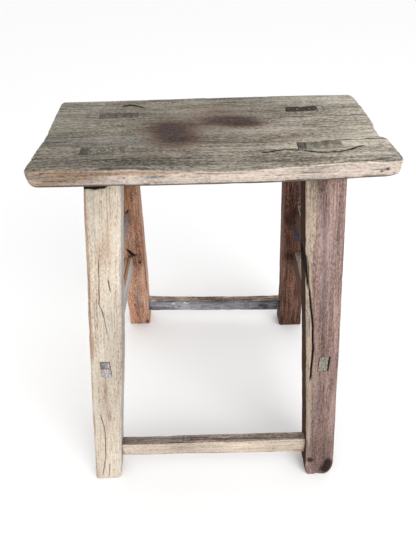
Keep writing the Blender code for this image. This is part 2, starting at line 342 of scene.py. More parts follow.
def new_mesh(name, points, faces):
    """A mesh object from arrays, at the origin."""
    mesh = bpy.data.meshes.new(name)
    mesh.vertices.add(len(points))
    mesh.vertices.foreach_set("co", np.ascontiguousarray(points, np.float32).ravel())
    mesh.loops.add(faces.size)
    mesh.loops.foreach_set("vertex_index", np.ascontiguousarray(faces, np.int32).ravel())
    mesh.polygons.add(len(faces))
    mesh.polygons.foreach_set("loop_start", np.arange(0, faces.size, 4, dtype=np.int32))
    mesh.update(calc_edges=True)
    mesh.validate()
    piece = bpy.data.objects.new(name, mesh)
    bpy.context.scene.collection.objects.link(piece)
    return piece


def places(piece):
    """The points of a piece's mesh as an array."""
    found = np.empty(len(piece.data.vertices) * 3, np.float32)
    piece.data.vertices.foreach_get("co", found)
    return found.reshape(-1, 3).astype(float)


def point_normals(piece):
    """The normals at the points of a piece's mesh as an array."""
    found = np.empty(len(piece.data.vertices) * 3, np.float32)
    piece.data.vertex_normals.foreach_get("vector", found)
    return found.reshape(-1, 3).astype(float)


def cut(piece, cutters):
    """Cuts the cutters out of a piece, and removes them."""
    for cutter in cutters:
        change = piece.modifiers.new(cutter.name, "BOOLEAN")
        change.operation = "DIFFERENCE"
        change.solver = "EXACT"
        change.object = cutter
    result = piece.evaluated_get(bpy.context.evaluated_depsgraph_get())
    mesh = bpy.data.meshes.new_from_object(result)
    piece.modifiers.clear()
    old = piece.data
    piece.data = mesh
    mesh.name = piece.name
    bpy.data.meshes.remove(old)
    for cutter in cutters:
        bpy.data.objects.remove(cutter)


def cutter_bar(name, bar):
    """A plain cutter of a bar's shape."""
    ends = np.array((-1.0, 1.0))
    return new_mesh(name, *bar.surface(ends, ends))


def write_masks(piece, grain, masks):
    """Writes the grain's own coordinates and the named masks on to a piece's points."""
    layer = piece.data.attributes.new("grain", "FLOAT_VECTOR", "POINT")
    layer.data.foreach_set("vector", np.ascontiguousarray(grain, np.float32).ravel())
    for name, values in masks.items():
        layer = piece.data.attributes.new(name, "FLOAT", "POINT")
        layer.data.foreach_set("value", np.clip(values, -1.0, 1.0).astype(np.float32))


def finish_piece(piece, node, material):
    """Shades a piece, gives it its wood and puts it in its node's place."""
    piece.data.shade_smooth()
    piece.data.set_sharp_from_angle(angle=SHARP_ANGLE)
    piece.data.materials.clear()
    piece.data.materials.append(material)
    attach(piece, "root")
    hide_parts(node)


# ---------------------------------------------------------------- materials

class Nodes:
    """Short ways to add the nodes of one material."""

    def __init__(self, name):
        self.material = bpy.data.materials.new(name)
        self.material.use_nodes = True
        self.tree = self.material.node_tree
        self.shader = self.tree.nodes["Principled BSDF"]

    def add(self, kind, inputs, **settings):
        """A node with its settings and its inputs, which are sockets or plain values."""
        node = self.tree.nodes.new(kind)
        for key, value in settings.items():
            setattr(node, key, value)
        for key, value in inputs.items():
            if isinstance(value, bpy.types.NodeSocket):
                self.tree.links.new(value, node.inputs[key])
            else:
                node.inputs[key].default_value = value
        return node

    def mask(self, name):
        """A mask that is written on the piece's points."""
        return self.add("ShaderNodeAttribute", {}, attribute_name=name).outputs["Fac"]

    def math(self, operation, first, second=0.0, third=0.0, clamp=False):
        """One step of arithmetic."""
        inputs = {0: first, 1: second, 2: third}
        return self.add("ShaderNodeMath", inputs, operation=operation, use_clamp=clamp).outputs[0]

    def total(self, start, *terms, clamp=False):
        """The start plus each value times its weight."""
        for value, weight in terms:
            start = self.math("MULTIPLY_ADD", value, weight, start, clamp=clamp)
        return start

    def vector(self, operation, first, second):
        """One step of arithmetic on each part of a vector."""
        return self.add("ShaderNodeVectorMath", {0: first, 1: second}, operation=operation).outputs[0]

    def joined(self, **parts):
        """A vector of the given parts."""
        return self.add("ShaderNodeCombineXYZ", parts).outputs[0]

    def noise(self, vector, scale, detail, roughness=0.55):
        """Noise about 0, of roughly -1 to 1, in cells of 1 / scale in each direction."""
        inputs = {"Scale": 1.0, "Detail": detail, "Roughness": roughness}
        inputs["Vector"] = self.vector("MULTIPLY", vector, scale)
        found = self.add("ShaderNodeTexNoise", inputs).outputs["Fac"]
        return self.math("MULTIPLY_ADD", found, 4.0, -2.0)

    def step(self, value, low, high):
        """0 below low and 1 above high, smoothly."""
        inputs = {"Value": value, "From Min": low, "From Max": high}
        return self.add("ShaderNodeMapRange", inputs, interpolation_type="SMOOTHSTEP").outputs["Result"]

    def blend(self, factor, first, second):
        """Two colours mixed by a factor."""
        node = self.add("ShaderNodeMix", {}, data_type="RGBA")
        for key, value in (("Factor_Float", factor), ("A_Color", first), ("B_Color", second)):
            socket = next(found for found in node.inputs if found.identifier == key)
            if isinstance(value, bpy.types.NodeSocket):
                self.tree.links.new(value, socket)
            else:
                socket.default_value = value if isinstance(value, float) else (*value, 1.0)
        return next(found for found in node.outputs if found.identifier == "Result_Color")

    def lay(self, base, edge, low, high, over, share=None):
        """The base colour with another over it where a value passes from low to high."""
        factor = self.step(edge, low, high)
        if share is not None:
            factor = self.math("MULTIPLY", factor, share)
        return self.blend(factor, base, over)

    def ramp(self, value, stops):
        """A colour for a value, by (place, colour) stops."""
        node = self.add("ShaderNodeValToRGB", {"Fac": value})
        band = node.color_ramp
        while len(band.elements) < len(stops):
            band.elements.new(0.5)
        for element, (place, shade) in zip(band.elements, stops):
            element.position = place
            element.color = (*shade, 1.0)
        return node.outputs["Color"]


@dataclass
class Wood:
    """What one timber looks like.

    Its colours come first. Then come the weights of the noises in its tone (streaks, patches,
    fibres, grit) and of the layers over it (checks, flecks, coolness).
    """

    dark: tuple
    mid: tuple
    pale: tuple
    bare: tuple
    accent: tuple = (0.5, 0.4, 0.3)
    cool: tuple = (0.26, 0.27, 0.29)
    end: tuple = (0.16, 0.14, 0.12)
    stain: tuple = (0.05, 0.03, 0.03)
    halo: tuple = (0.14, 0.08, 0.055)
    grime: tuple = (0.045, 0.034, 0.026)
    streaks: float = 0.24
    patches: float = 0.26
    fibres: float = 0.42
    grit: float = 0.5
    checks: float = 0.8
    flecks: float = 0.4
    coolness: float = 0.45
    ring_scale: float = 230.0
    roughness: float = 0.68
    gloss: float = 0.06


def shade(colour_value, factor):
    """A colour made lighter or darker by a factor."""
    return tuple(min(1.0, part * factor) for part in colour_value)


def wood_material(name, wood, shades):
    """Old wood with its grain along the first of the piece's own grain coordinates.

    The tone is the sum of slow patches, growth-ring streaks, fine fibres and grit, each a noise
    drawn out along the grain, and it runs through every colour of the wood. Long dark checks and
    short pale flecks lie over it. The masks on the piece say where its bare edges, painted lit
    faces, second colours, end grain, stains, grime, painted shade, paint and cracks are, and how
    light or dark it is.
    """
    nodes = Nodes(name)
    grain = nodes.add("ShaderNodeAttribute", {}, attribute_name="grain").outputs["Vector"]
    waver = nodes.noise(grain, (11.0, 24.0, 24.0), 2.0)
    sway = nodes.vector("MULTIPLY", nodes.joined(Y=waver, Z=waver), (0.0, 0.0018, 0.0018))
    path = nodes.vector("ADD", grain, sway)

    patches = nodes.noise(path, (8.0, 34.0, 34.0), 4.0)
    rings = nodes.noise(path, (3.6, wood.ring_scale, wood.ring_scale), 5.0, 0.66)
    fibres = nodes.noise(path, (20.0, 640.0, 640.0), 5.0, 0.75)
    grit = nodes.noise(path, (240.0, 640.0, 640.0), 3.0, 0.7)
    lines = nodes.noise(path, (7.0, 420.0, 420.0), 3.0, 0.6)
    checks = nodes.step(lines, 0.55, 0.9)
    flecks = nodes.step(nodes.noise(path, (30.0, 520.0, 520.0), 3.0), 0.45, 0.95)
    weather = nodes.noise(path, (8.0, 75.0, 75.0), 3.0)

    streaks = ((patches, wood.patches), (rings, wood.streaks), (fibres, wood.fibres), (grit, wood.grit))
    tone = nodes.total(0.5, *streaks)

    def toned(middle, low=0.42, high=1.45):
        """A colour that is darker and lighter along the grain, by the two factors."""
        return nodes.ramp(tone, ((0.08, shade(middle, low)), (0.5, middle), (0.92, shade(middle, high))))

    # the second colours: grey weathering, bare edges and painted lit faces, the accent with painted edge
    # shade, and cool bands
    base = nodes.ramp(tone, ((0.06, wood.dark), (0.5, wood.mid), (0.94, wood.pale)))
    cool = nodes.mask("cool")
    base = nodes.lay(base, nodes.total(weather, (cool, 1.6)), 0.05, 1.0, toned(wood.cool), wood.coolness)
    bare = nodes.total(nodes.mask("bare"), (patches, 0.14), (fibres, 0.16))
    base = nodes.lay(base, bare, 0.2, 0.8, toned(wood.bare, 0.55, 1.3))
    accent = nodes.total(nodes.mask("accent"), (rings, 0.25))
    base = nodes.lay(base, accent, 0.2, 0.8, toned(wood.accent))
    base = nodes.lay(base, nodes.total(cool, (fibres, 0.3)), 0.3, 0.9, toned(wood.cool))
    base = nodes.blend(nodes.mask("end"), base, toned(wood.end, 0.35, 1.9))

    # the marks over them: flecks, stains with their halo, and checks
    base = nodes.blend(nodes.math("MULTIPLY", flecks, wood.flecks), base, shade(wood.pale, 1.15))
    stain = nodes.total(nodes.mask("stain"), (rings, 0.2), (fibres, 0.2))
    base = nodes.lay(base, stain, 0.05, 0.8, toned(wood.halo), 0.8)
    base = nodes.lay(base, stain, 0.4, 1.3, toned(wood.stain, 0.4, 2.2), 0.95)
    base = nodes.blend(nodes.math("MULTIPLY", checks, wood.checks), base, shade(wood.dark, 0.8))
    light = nodes.total(1.0, (nodes.mask("tone"), 0.8))
    base = nodes.vector("MULTIPLY", base, nodes.joined(X=light, Y=light, Z=light))

    # what lies on the wood: grime and painted shade, specks of paint, and the dark of cracks and of a painted
    # gap shadow
    base = nodes.lay(base, nodes.total(nodes.mask("grime"), (patches, 0.12)), 0.1, 1.1, wood.grime)
    specks = nodes.math("ADD", nodes.noise(path, (120.0, 300.0, 300.0), 4.0), nodes.mask("paint"))
    base = nodes.lay(base, specks, 1.0, 1.3, shades.paint[:])
    cracked = nodes.mask("crack")
    base = nodes.lay(base, cracked, 0.15, 0.85, shades.crack[:])

    rough = nodes.total(wood.roughness, (patches, 0.07))
    rough = nodes.total(rough, (fibres, 0.05), clamp=True)
    height = nodes.total(0.0, (rings, 0.35), (fibres, 0.35), (grit, 0.15), (checks, -0.9), (cracked, -2.0))
    bump = nodes.add("ShaderNodeBump", {"Height": height, "Strength": 0.7, "Distance": 0.8 * MM})
    for socket, value in (("Base Color", base), ("Roughness", rough), ("Normal", bump.outputs[0])):
        nodes.tree.links.new(value, nodes.shader.inputs[socket])
    nodes.shader.inputs["Specular IOR Level"].default_value = wood.gloss
    return nodes.material


# ---------------------------------------------------------------- reading the frame

SHOULDER_GAP = 0.3 * MM     # between a leg's shoulder and the seat
TIP_DEPTH = 1.2 * MM        # how far under its end a tenon or a wedge starts to draw in
TIP_ROUND = 0.5 * MM        # how far its end is drawn in


def tip_heights(low, top, count, last):
    """Heights of sections from low to 2 mm under the top, and closer ones up to `last` under it."""
    close = (top - TIP_DEPTH, top - 0.7 * MM, top - last)
    return np.concatenate((np.linspace(low, top - 2.0 * MM, count), close))


def tip_draw(heights, top):
    """How far the sections draw in near the top."""
    return np.interp(heights, (top - TIP_DEPTH, top), (0.0, TIP_ROUND))[:, None]


def node_points(node):
    """The points of a solid in the frame, each once."""
    return np.unique(places(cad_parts[node]).round(6), axis=0)


def slab(node, low, high):
    """The lowest and highest x and y of a solid's points between two heights."""
    points = node_points(node)
    found = points[(points[:, 2] > low - 0.05 * MM) & (points[:, 2] < high + 0.05 * MM)]
    return found[:, :2].min(axis=0), found[:, :2].max(axis=0)


@dataclass
class LegPlan:
    """Where a leg stands, read from its solid."""

    foot: np.ndarray
    shoulder: np.ndarray
    foot_half: np.ndarray
    shoulder_half: np.ndarray
    tenon_low: np.ndarray
    tenon_high: np.ndarray
    shoulder_height: float
    top: float

    def centre(self, height):
        """The leg's centre line at some heights."""
        share = np.asarray(height) / self.shoulder_height
        line = self.foot + (self.shoulder - self.foot) * share[..., None]
        return np.concatenate((line, np.asarray(height)[..., None]), axis=-1)

    def half(self, axis, height, taper):
        """Half the leg's width (0) or depth (1): full above the taper, narrower at the foot."""
        return np.interp(height, (0.0, taper), (self.foot_half[axis], self.shoulder_half[axis]))


def read_leg(name):
    """Reads a leg's plan from its solid: its foot, its shoulder and the top of its tenon."""
    node = name + "_leg"
    seat_low, seat_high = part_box("seat")
    foot_low, foot_high = slab(node, 0.0, 4 * MM)
    ring_low, ring_high = slab(node, seat_low.z - 1.0 * MM, seat_low.z)
    top_low, top_high = slab(node, seat_high.z - 0.1 * MM, seat_high.z + 0.1 * MM)
    return LegPlan(
        (foot_low + foot_high) / 2, (ring_low + ring_high) / 2,
        (foot_high - foot_low) / 2, (ring_high - ring_low) / 2,
        top_low, top_high, seat_low.z - SHOULDER_GAP, seat_high.z)


@dataclass
class RailPlan:
    """Where a rail runs, read from its solid."""

    run: int
    ends: np.ndarray
    lean: tuple
    half: np.ndarray
    tenon_half: np.ndarray

    def axes(self):
        """The side and up directions, which make a right hand with the run."""
        return (Y_AXIS if self.run == 0 else -X_AXIS), Z_AXIS


def read_rail(node, run, wedge=None):
    """Reads a rail's plan from its solid.

    The four points furthest along the run at each end are the end of its tenon, and their middle
    is on the rail's line. A wedge over the tenon counts with it.
    """
    points = node_points(node)
    across = 1 - run
    order = np.argsort(points[:, run])
    ends, leans = [], []
    for picked in (order[:4], order[-4:]):
        found = points[picked]
        low, high = found.min(axis=0), found.max(axis=0)
        if wedge and picked[0] == order[0]:
            high[2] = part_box(wedge)[1].z
        ends.append((low + high) / 2)
        upper = found[:, 2] > found[:, 2].mean()
        rise = found[upper].mean(axis=0) - found[~upper].mean(axis=0)
        leans.append(rise[run] / rise[2])
    ends = np.array(ends)
    tenon = points[order[-4:]]
    tenon_half = (tenon.max(axis=0) - tenon.min(axis=0))[[across, 2]] / 2
    share = (points[:, run] - ends[0, run]) / (ends[1, run] - ends[0, run])
    off = points - (ends[0] + (ends[1] - ends[0]) * share[:, None])
    half = np.array((abs(off[:, across]).max(), abs(off[:, 2]).max()))
    return RailPlan(run, ends, tuple(leans), half, tenon_half)


RAIL_LEGS = {
    "front_rail": (0, "front_left", "front_right"),
    "back_rail": (0, "back_left", "back_right"),
    "left_lower_rail": (1, "front_left", "back_left"),
    "left_upper_rail": (1, "front_left", "back_left"),
    "right_lower_rail": (1, "front_right", "back_right"),
    "right_upper_rail": (1, "front_right", "back_right"),
}
WEDGED_RAIL = "left_lower_rail"
RAIL_SHOULDER = 1.0 * MM    # how far a rail's tenon steps in from its top and bottom
PAST_FACE = 6 * MM          # how far a cutter goes past the face that it opens


def all_rails():
    """Every rail's plan by name."""
    return {
        name: read_rail(name, run, name + "_wedge" if name == WEDGED_RAIL else None)
        for name, (run, _, _) in RAIL_LEGS.items()
    }


def rail_mortise(name, plan, end, leg, sizes):
    """A cutter for a rail's mortise in one leg: the tenon grown by a gap, from outside the leg's
    inner face to the tenon's end, and past it where the tenon goes right through."""
    grow = 2 * sizes.joint_gap
    side, up = plan.axes()
    tip, other = plan.ends[end], plan.ends[1 - end]
    way = (tip - other) / abs(tip[plan.run] - other[plan.run])
    depth = 2 * leg.half(plan.run, tip[2], sizes.foot_taper)
    centre_line = leg.centre(tip[2])[plan.run]
    through = abs(tip[plan.run] - centre_line) > 0.4 * depth
    past = PAST_FACE if through else grow
    line = (tip - way * (depth + 2 * PAST_FACE), tip + way * past)
    half_side = plan.tenon_half[0] + grow
    half_up = plan.half[1] - RAIL_SHOULDER + grow
    slack = 2.0 * MM if (name, end) == ("right_lower_rail", 0) else 0.0
    reach = [(half_side + slack, half_side, half_up, half_up)] * 2
    return even_bar(plan.run, side, up, line if end else line[::-1], reach)


# ---------------------------------------------------------------- seat

SEAT_CRACKS = (
    # (route of (x, y) points, width, depth)
    (((0.054, -0.0585), (0.079, -0.054), (0.096, -0.056), (0.1145, -0.0616), (0.1353, -0.0619),
      (0.149, -0.0571), (0.1555, -0.0529), (0.164, -0.05)), 0.0018, 0.0028),
    (((-0.107, 0.0772), (-0.1, 0.0788), (-0.093, 0.0786), (-0.0865, 0.076), (-0.081, 0.0712),
      (-0.0765, 0.064)), 0.0019, 0.0018),
    (((-0.19, 0.0722), (-0.1718, 0.0718)), 0.001, 0.002),
    (((-0.19, -0.059), (-0.176, -0.0595)), 0.001, 0.002),
    (((-0.19, -0.043), (-0.179, -0.0428)), 0.0008, 0.0014),
    (((0.15, 0.028), (0.192, 0.0265)), 0.0009, 0.0012),
    (((0.12, -0.038), (0.192, -0.0345)), 0.001, 0.0014),
)
CRACK_FADE = 3 * MM
FRONT_CRACK_FADE = 4 * MM
FRONT_CRACKS = (
    # (route of (x, z) points, width)
    (((0.066, 0.486), (0.1, 0.4872), (0.15, 0.4868), (0.186, 0.4885)), 0.0007),
    (((-0.175, 0.485), (-0.12, 0.4862), (-0.1, 0.4855)), 0.0006),
    (((-0.02, 0.4905), (0.04, 0.4898)), 0.0006),
)
# spots of (place, place, half size, half size, strength): stains on the top by x and y, and marks
# on the front by x and z
SEAT_STAINS = (
    (-0.052, 0.01, 0.024, 0.017, 0.36), (-0.04, -0.01, 0.022, 0.018, 0.66),
    (-0.03, -0.03, 0.026, 0.018, 0.44), (-0.04, -0.01, 0.046, 0.042, 0.42),
    (0.008, 0.027, 0.026, 0.012, 0.45), (0.031, 0.02, 0.023, 0.013, 0.82),
    (0.052, 0.01, 0.02, 0.009, 0.5), (0.028, 0.02, 0.06, 0.03, 0.3),
    (0.088, -0.018, 0.032, 0.016, 0.3), (0.013, 0.048, 0.036, 0.008, 0.4),
    (-0.01, 0.062, 0.06, 0.014, 0.2), (0.06, -0.04, 0.06, 0.01, 0.16),
    (-0.02, -0.056, 0.012, 0.004, 0.35), (-0.06, -0.06, 0.03, 0.006, 0.22),
)
FRONT_ACCENTS = (
    (-0.158, 0.4915, 0.042, 0.006, 1.1), (-0.085, 0.4935, 0.045, 0.003, 0.7),
    (-0.02, 0.493, 0.05, 0.0022, 0.45), (-0.172, 0.482, 0.02, 0.003, 0.45),
    (-0.13, 0.483, 0.05, 0.005, 0.3),
)
FRONT_COOLS = (
    (-0.056, 0.489, 0.015, 0.0022, 1.0), (-0.176, 0.4925, 0.014, 0.0014, 0.9),
    (-0.16, 0.4865, 0.022, 0.001, 0.7), (0.11, 0.484, 0.03, 0.001, 0.5),
)
FRONT_KNOTS = (
    (0.181, 0.489, 0.002, 0.0018, 1.5), (0.1755, 0.4862, 0.0014, 0.0014, 1.3),
    (0.14, 0.48, 0.0016, 0.0012, 1.0), (-0.088, 0.488, 0.0016, 0.001, 1.0),
)
SEAT_NOTCH_Y = -0.031      # where the right end steps in


def seat_surface(sizes):
    """The seat board.

    A box skin whose edges are rounded to quarter ellipses, then moved point by point: the ends
    and the front follow their own plan curves, the top is worn down towards the front edge's
    middle, slow noise warps it, and ridges run along the grain.
    """
    low, high = (np.array(corner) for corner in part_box("seat"))
    columns = spread(low[0], high[0], 1.3 * sizes.spacing, 10 * MM, 8)
    rows = spread(low[1], high[1], 1.2 * sizes.fine_spacing, 8 * MM, 9)
    rows = closer(rows, -0.064, -0.0495, 0.5 * MM)
    rows = closer(rows, 0.058, 0.0795, 0.6 * MM)
    levels = spread(low[2], high[2], 1.5 * MM, 6.0 * MM, 6)
    points, faces = box_surface(columns, rows, levels)

    # each edge's rounding, which is wider at the back corners and at the right front corner
    right, back = points[:, 0] > 0, points[:, 1] > 0
    upper = points[:, 2] > (low[2] + high[2]) / 2
    radius = np.empty_like(points)
    radius[:, 0] = np.where(right, np.where(back, 14 * MM, 9 * MM), np.where(back, 5 * MM, 8 * MM))
    radius[:, 1] = np.where(back, np.where(right, 11 * MM, 4 * MM), sizes.seat_edge)
    radius[:, 2] = np.where(upper, np.where(back, 2.2 * MM, sizes.seat_top_edge), sizes.seat_low_edge)
    corner = (right & ~back) * ease(points[:, 0], 0.15, 0.18)
    radius[:, 0] += 3.0 * MM * corner
    radius[:, 1] += 4.0 * MM * corner
    radius[:, 2] += 1.5 * MM * corner * upper
    inner = np.clip(points, low + radius, high - radius)
    off = (points - inner) / radius
    size = np.linalg.norm(off, axis=1)
    pull = np.where(size > 1e-9, abs(off).max(axis=1) / np.maximum(size, 1e-9), 1.0)
    points = inner + (points - inner) * pull[:, None]

    # the ends in plan: a bulge on the left, and a notch and a waist on the right
    x, y = points[:, 0].copy(), points[:, 1].copy()
    left_edge = ease(-x, -low[0] - 0.035, -low[0])
    bulge = 3.4 * MM * bell(y, 0.002, 0.052) - 0.4 * MM * ease(-y, 0.01, 0.06) - 2.2 * MM
    points[:, 0] += left_edge * bulge
    tucked = ease(-points[:, 2], -low[2] - 14 * MM, -low[2])
    points[:, 0] += left_edge * tucked * 2.0 * MM * ease(-y, 0.05, 0.08)
    step = ease(y, SEAT_NOTCH_Y - 0.8 * MM, SEAT_NOTCH_Y + 0.8 * MM)
    rear_cut = 3.6 * MM - 1.4 * MM * bell(y, 0.045, 0.04)
    front_cut = -2.6 * MM - 1.8 * MM * bell(y, -0.068, 0.03)
    points[:, 0] -= ease(x, high[0] - 0.012, high[0]) * (step * rear_cut + (1 - step) * front_cut)

    # the front and the back in plan, and the front's lower edge, which rises towards both ends
    front_edge = ease(-y, -low[1] - 0.03, -low[1])
    bow = 2.2 * MM * (1 - bell(x, 0.01, 0.12)) + 0.6 * MM * noise(points, (0.05,) * 3, 3)
    points[:, 1] += front_edge * (bow - 1.0 * MM)
    back_edge = ease(y, high[1] - 0.03, high[1])
    swell = 3.4 * MM + 1.8 * MM * bell(x, 0.085, 0.065) + 1.0 * MM * noise(points, (0.07,) * 3, 4)
    points[:, 1] += back_edge * swell
    points[:, 2] += tucked * 1.6 * MM * ease(abs(x), 0.05, 0.15) * ease(-y, 0.074, 0.086)

    # the worn top
    top = ease(points[:, 2], low[2] + 8 * MM, high[2] - 4 * MM)
    edge_fall = ease(-y, 0.046, 0.085) ** 1.3
    wear = sizes.front_wear * bell(x, 0.022, 0.08) + 0.9 * MM * bell(x, -0.1, 0.06)
    points[:, 2] -= top * edge_fall * wear
    points[:, 2] -= top * (0.3 * MM + 0.4 * MM * noise(points, (0.09, 0.06, 0.06), 5))

    facing = normals(points, faces)
    ridges = waves(
        points, 6, (0.2 * MM, (0.06, 0.0032, 0.0032)), (0.14 * MM, (0.022, 0.0018, 0.0018)))
    edge = bell(size, 1.0, 0.55) * (size > 0.5)
    chips = 1.6 * MM * peaks(points, (0.022, 0.006, 0.006), 8, 0.25) * edge
    chips += 1.2 * MM * peaks(points, (0.05, 0.02, 0.004), 11, 0.35) * (points[:, 1] < -0.078)
    sunk = np.zeros(len(points))
    for route, width, depth in SEAT_CRACKS:
        sunk += depth * crack(points[:, 0], points[:, 1], route, width, CRACK_FADE) * (facing[:, 2] > 0.3)
    for route, width in FRONT_CRACKS:
        groove = crack(points[:, 0], points[:, 2], route, width, FRONT_CRACK_FADE)
        sunk += 0.7 * MM * groove * (facing[:, 1] < -0.5)
    return points + facing * (ridges - chips - sunk)[:, None], faces


def seat_masks(points, facing, plans):
    """Where the seat's wood is bare, stained, grimy, cracked or scribed, where shade is painted on its
    underside, and its front's marks.
    """
    low, high = (np.array(corner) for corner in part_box("seat"))
    x, y, z = points.T
    up = ease(facing[:, 2], 0.15, 0.75)
    front = ease(-facing[:, 1], 0.35, 0.75)
    rim = ease(-facing[:, 2], -0.7, -0.25)
    grime = 0.0 * x
    for plan in plans.values():
        near = np.maximum(
            np.maximum(plan.tenon_low[0] - x, x - plan.tenon_high[0]),
            np.maximum(plan.tenon_low[1] - y, y - plan.tenon_high[1]))
        grime += 0.3 * bell(np.maximum(near, 0.0), 0.0, 0.003) * up
    arris = bell(facing[:, 2], 0.86, 0.12) * (y < -0.065)
    # darker in a band at the step in the right end
    notch = bell(y, SEAT_NOTCH_Y + 0.001, 0.0035) * ease(x, high[0] - 0.009, high[0] - 0.004)
    grime += 1.2 * notch
    grime += 0.85 * arris * ease(noise(points, (0.03, 0.01, 0.01), 12), -0.1, 0.5)
    # darker along the bottom of the front face
    grime += 0.4 * bell(z, low[2] + 0.002, 0.0035) * front
    # painted shade on the seat's underside
    grime += 0.45 * (facing[:, 2] < -0.3)
    cracked = sum(crack(x, y, route, 0.85 * width, CRACK_FADE) for route, width, _ in SEAT_CRACKS) * 1.5 * up
    front_cracks = sum(crack(x, z, route, width, FRONT_CRACK_FADE) for route, width in FRONT_CRACKS)
    cracked += front_cracks * 0.55 * front
    scribe = bell(x, 0.0957 + 0.02 * (y - 0.06), 0.0008) * ease(y, 0.056, 0.06)
    scribe += bell(x, 0.0938 + 0.06 * (y + 0.06), 0.0008) * ease(-y, 0.056, 0.06)
    tone = 0.7 * ease(x, 0.03, 0.15) + 0.2 * noise(points, (0.09, 0.03, 0.03), 10)
    tone += 0.26 * bell(y, -0.05, 0.02) * bell(x, 0.015, 0.06)
    tone -= 0.18 * bell(y, -0.072, 0.01) * ease(-x, -0.02, 0.05)
    front_tone = -0.28 * ease(-x, 0.08, 0.14)
    front_arris = 0.6 * bell(facing[:, 2], 0.8, 0.2) * (y < -0.07)
    grain = np.stack((x, y, z * 0.8 + 0.3), axis=1)
    return grain, {
        "tone": tone * up + front_tone * front,
        "bare": rim * (0.4 + 0.7 * front),
        "stain": spots(x, y, SEAT_STAINS) * up + spots(x, z, FRONT_KNOTS) * front,
        "grime": grime,
        "crack": cracked + 0.35 * scribe * up,
        "accent": spots(x, z, FRONT_ACCENTS) * (front + front_arris),
        "cool": spots(x, z, FRONT_COOLS) * front,
    }


def seat_mortise(name, plan, sizes):
    """The mortise in the seat: the tenon and its wedge together, grown by the joint gap, along
    the leg's slope and out past both faces of the board."""
    wedge = name + "_seat_wedge"
    sections = []
    for height in (plan.shoulder_height, plan.top):
        shift = (plan.centre(height) - plan.centre(plan.top))[:2]
        wedge_low, wedge_high = slab(wedge, height - 0.5 * MM, height + 0.5 * MM)
        low = np.minimum(plan.tenon_low + shift, wedge_low)
        high = np.maximum(plan.tenon_high + shift, wedge_high)
        sections.append((height, low - sizes.joint_gap, high + sizes.joint_gap))
    (z0, low0, high0), (z1, low1, high1) = sections
    line, reach = [], []
    for height in (z0 - PAST_FACE, z1 + PAST_FACE):
        share = (height - z0) / (z1 - z0)
        low, high = low0 + (low1 - low0) * share, high0 + (high1 - high0) * share
        line.append((*((low + high) / 2), height))
        half = (high - low) / 2
        reach.append((half[0], half[0], half[1], half[1]))
    return even_bar(2, X_AXIS, Y_AXIS, line, reach)


class STOOL_OT_make_seat(bpy.types.Operator):
    """Make the seat board with its four mortises"""

    bl_idname = "stool.make_seat"
    bl_label = "Make seat"

    def execute(self, context):
        sizes, shades = context.scene.stool_sizes, context.scene.stool_colours
        plans = {name: read_leg(name) for name in LEGS}
        seat = new_mesh("worn_seat", *seat_surface(sizes))
        mortises = {name: seat_mortise(name, plan, sizes) for name, plan in plans.items()}
        cut(seat, [cutter_bar("mortise_" + name, bar) for name, bar in mortises.items()])
        points = places(seat)
        write_masks(seat, *seat_masks(points, point_normals(seat), plans))
        look = Wood(
            *tones(shades, "seat"), shades.seat_edge[:], accent=(0.355, 0.25, 0.175),
            cool=(0.23, 0.24, 0.24), stain=shades.seat_stain[:], patches=0.3, ring_scale=240.0,
            roughness=0.72, coolness=0.5)
        finish_piece(seat, "seat", wood_material("seat_wood", look, shades))
        return {"FINISHED"}


# ---------------------------------------------------------------- legs

@dataclass
class LegLook:
    """What is particular to one leg.

    edges holds, for each long edge, its rounding at the foot and at the shoulder. The other lists
    go by face: left, right, front, back. swells holds (height, amount) points of how far a face
    stands out, and corners holds the width and height of the foot's rounding. cracks holds
    (route, width, depth, facing, darkness), and marks holds spots on the front face by mask.
    """

    seed: int
    edges: tuple
    swells: tuple
    corners: tuple
    cracks: tuple
    marks: dict
    wood: Wood


def leg_bar(plan, look, sizes):
    """A leg with its tenon, as sections up its centre line.

    The foot's sections draw in as quarter ellipses. The body's sections vary by slow noise, and
    at the shoulder the section steps in to the tenon's.
    """
    foot = sizes.foot_edge * (1 - np.cos(np.linspace(0.0, math.pi / 2, 5)))
    body = np.arange(sizes.foot_edge, plan.shoulder_height, sizes.spacing)[1:]
    heights = np.concatenate((foot, body, (plan.shoulder_height,)))
    tenon = tip_heights(plan.shoulder_height, plan.top, 8, 0.45 * MM)
    centre = np.concatenate((plan.centre(heights), plan.centre(tenon)))

    line = np.stack((heights, heights * 0, heights * 0), axis=1)
    reach = np.empty((len(heights), 4))
    radii = np.empty((len(heights), 4))
    for side in range(4):
        seed = look.seed * 7 + side
        wander = 0.45 * MM * noise(line, (0.07,) * 3, seed) + 0.18 * MM * noise(line, (0.018,) * 3, seed + 40)
        wide, high = look.corners[side]
        share = np.clip(1 - heights / high, 0.0, 1.0)
        draw_in = wide * (1 - np.sqrt(1 - share ** 2))
        swell = np.interp(heights, *np.array(look.swells[side]).T)
        reach[:, side] = plan.half(side // 2, heights, sizes.foot_taper) + wander + swell - draw_in
        vary = 1 + 0.35 * noise(line, (0.05,) * 3, look.seed * 11 + side)
        radii[:, side] = np.interp(heights, (0.0, plan.shoulder_height), look.edges[side]) * vary

    at = plan.centre(tenon)[:, :2]
    shift = at - plan.centre(np.array((plan.top,)))[:, :2]
    low, high = plan.tenon_low + shift, plan.tenon_high + shift
    tenon_reach = np.stack((at - low, high - at), axis=2).reshape(len(tenon), 4)
    tenon_reach -= tip_draw(tenon, plan.top)
    reach = np.concatenate((reach, tenon_reach))
    radii = np.concatenate((radii, np.full((len(tenon), 4), 0.8 * MM)))
    return Bar(2, X_AXIS, Y_AXIS, centre, reach, radii, np.zeros(len(centre)))


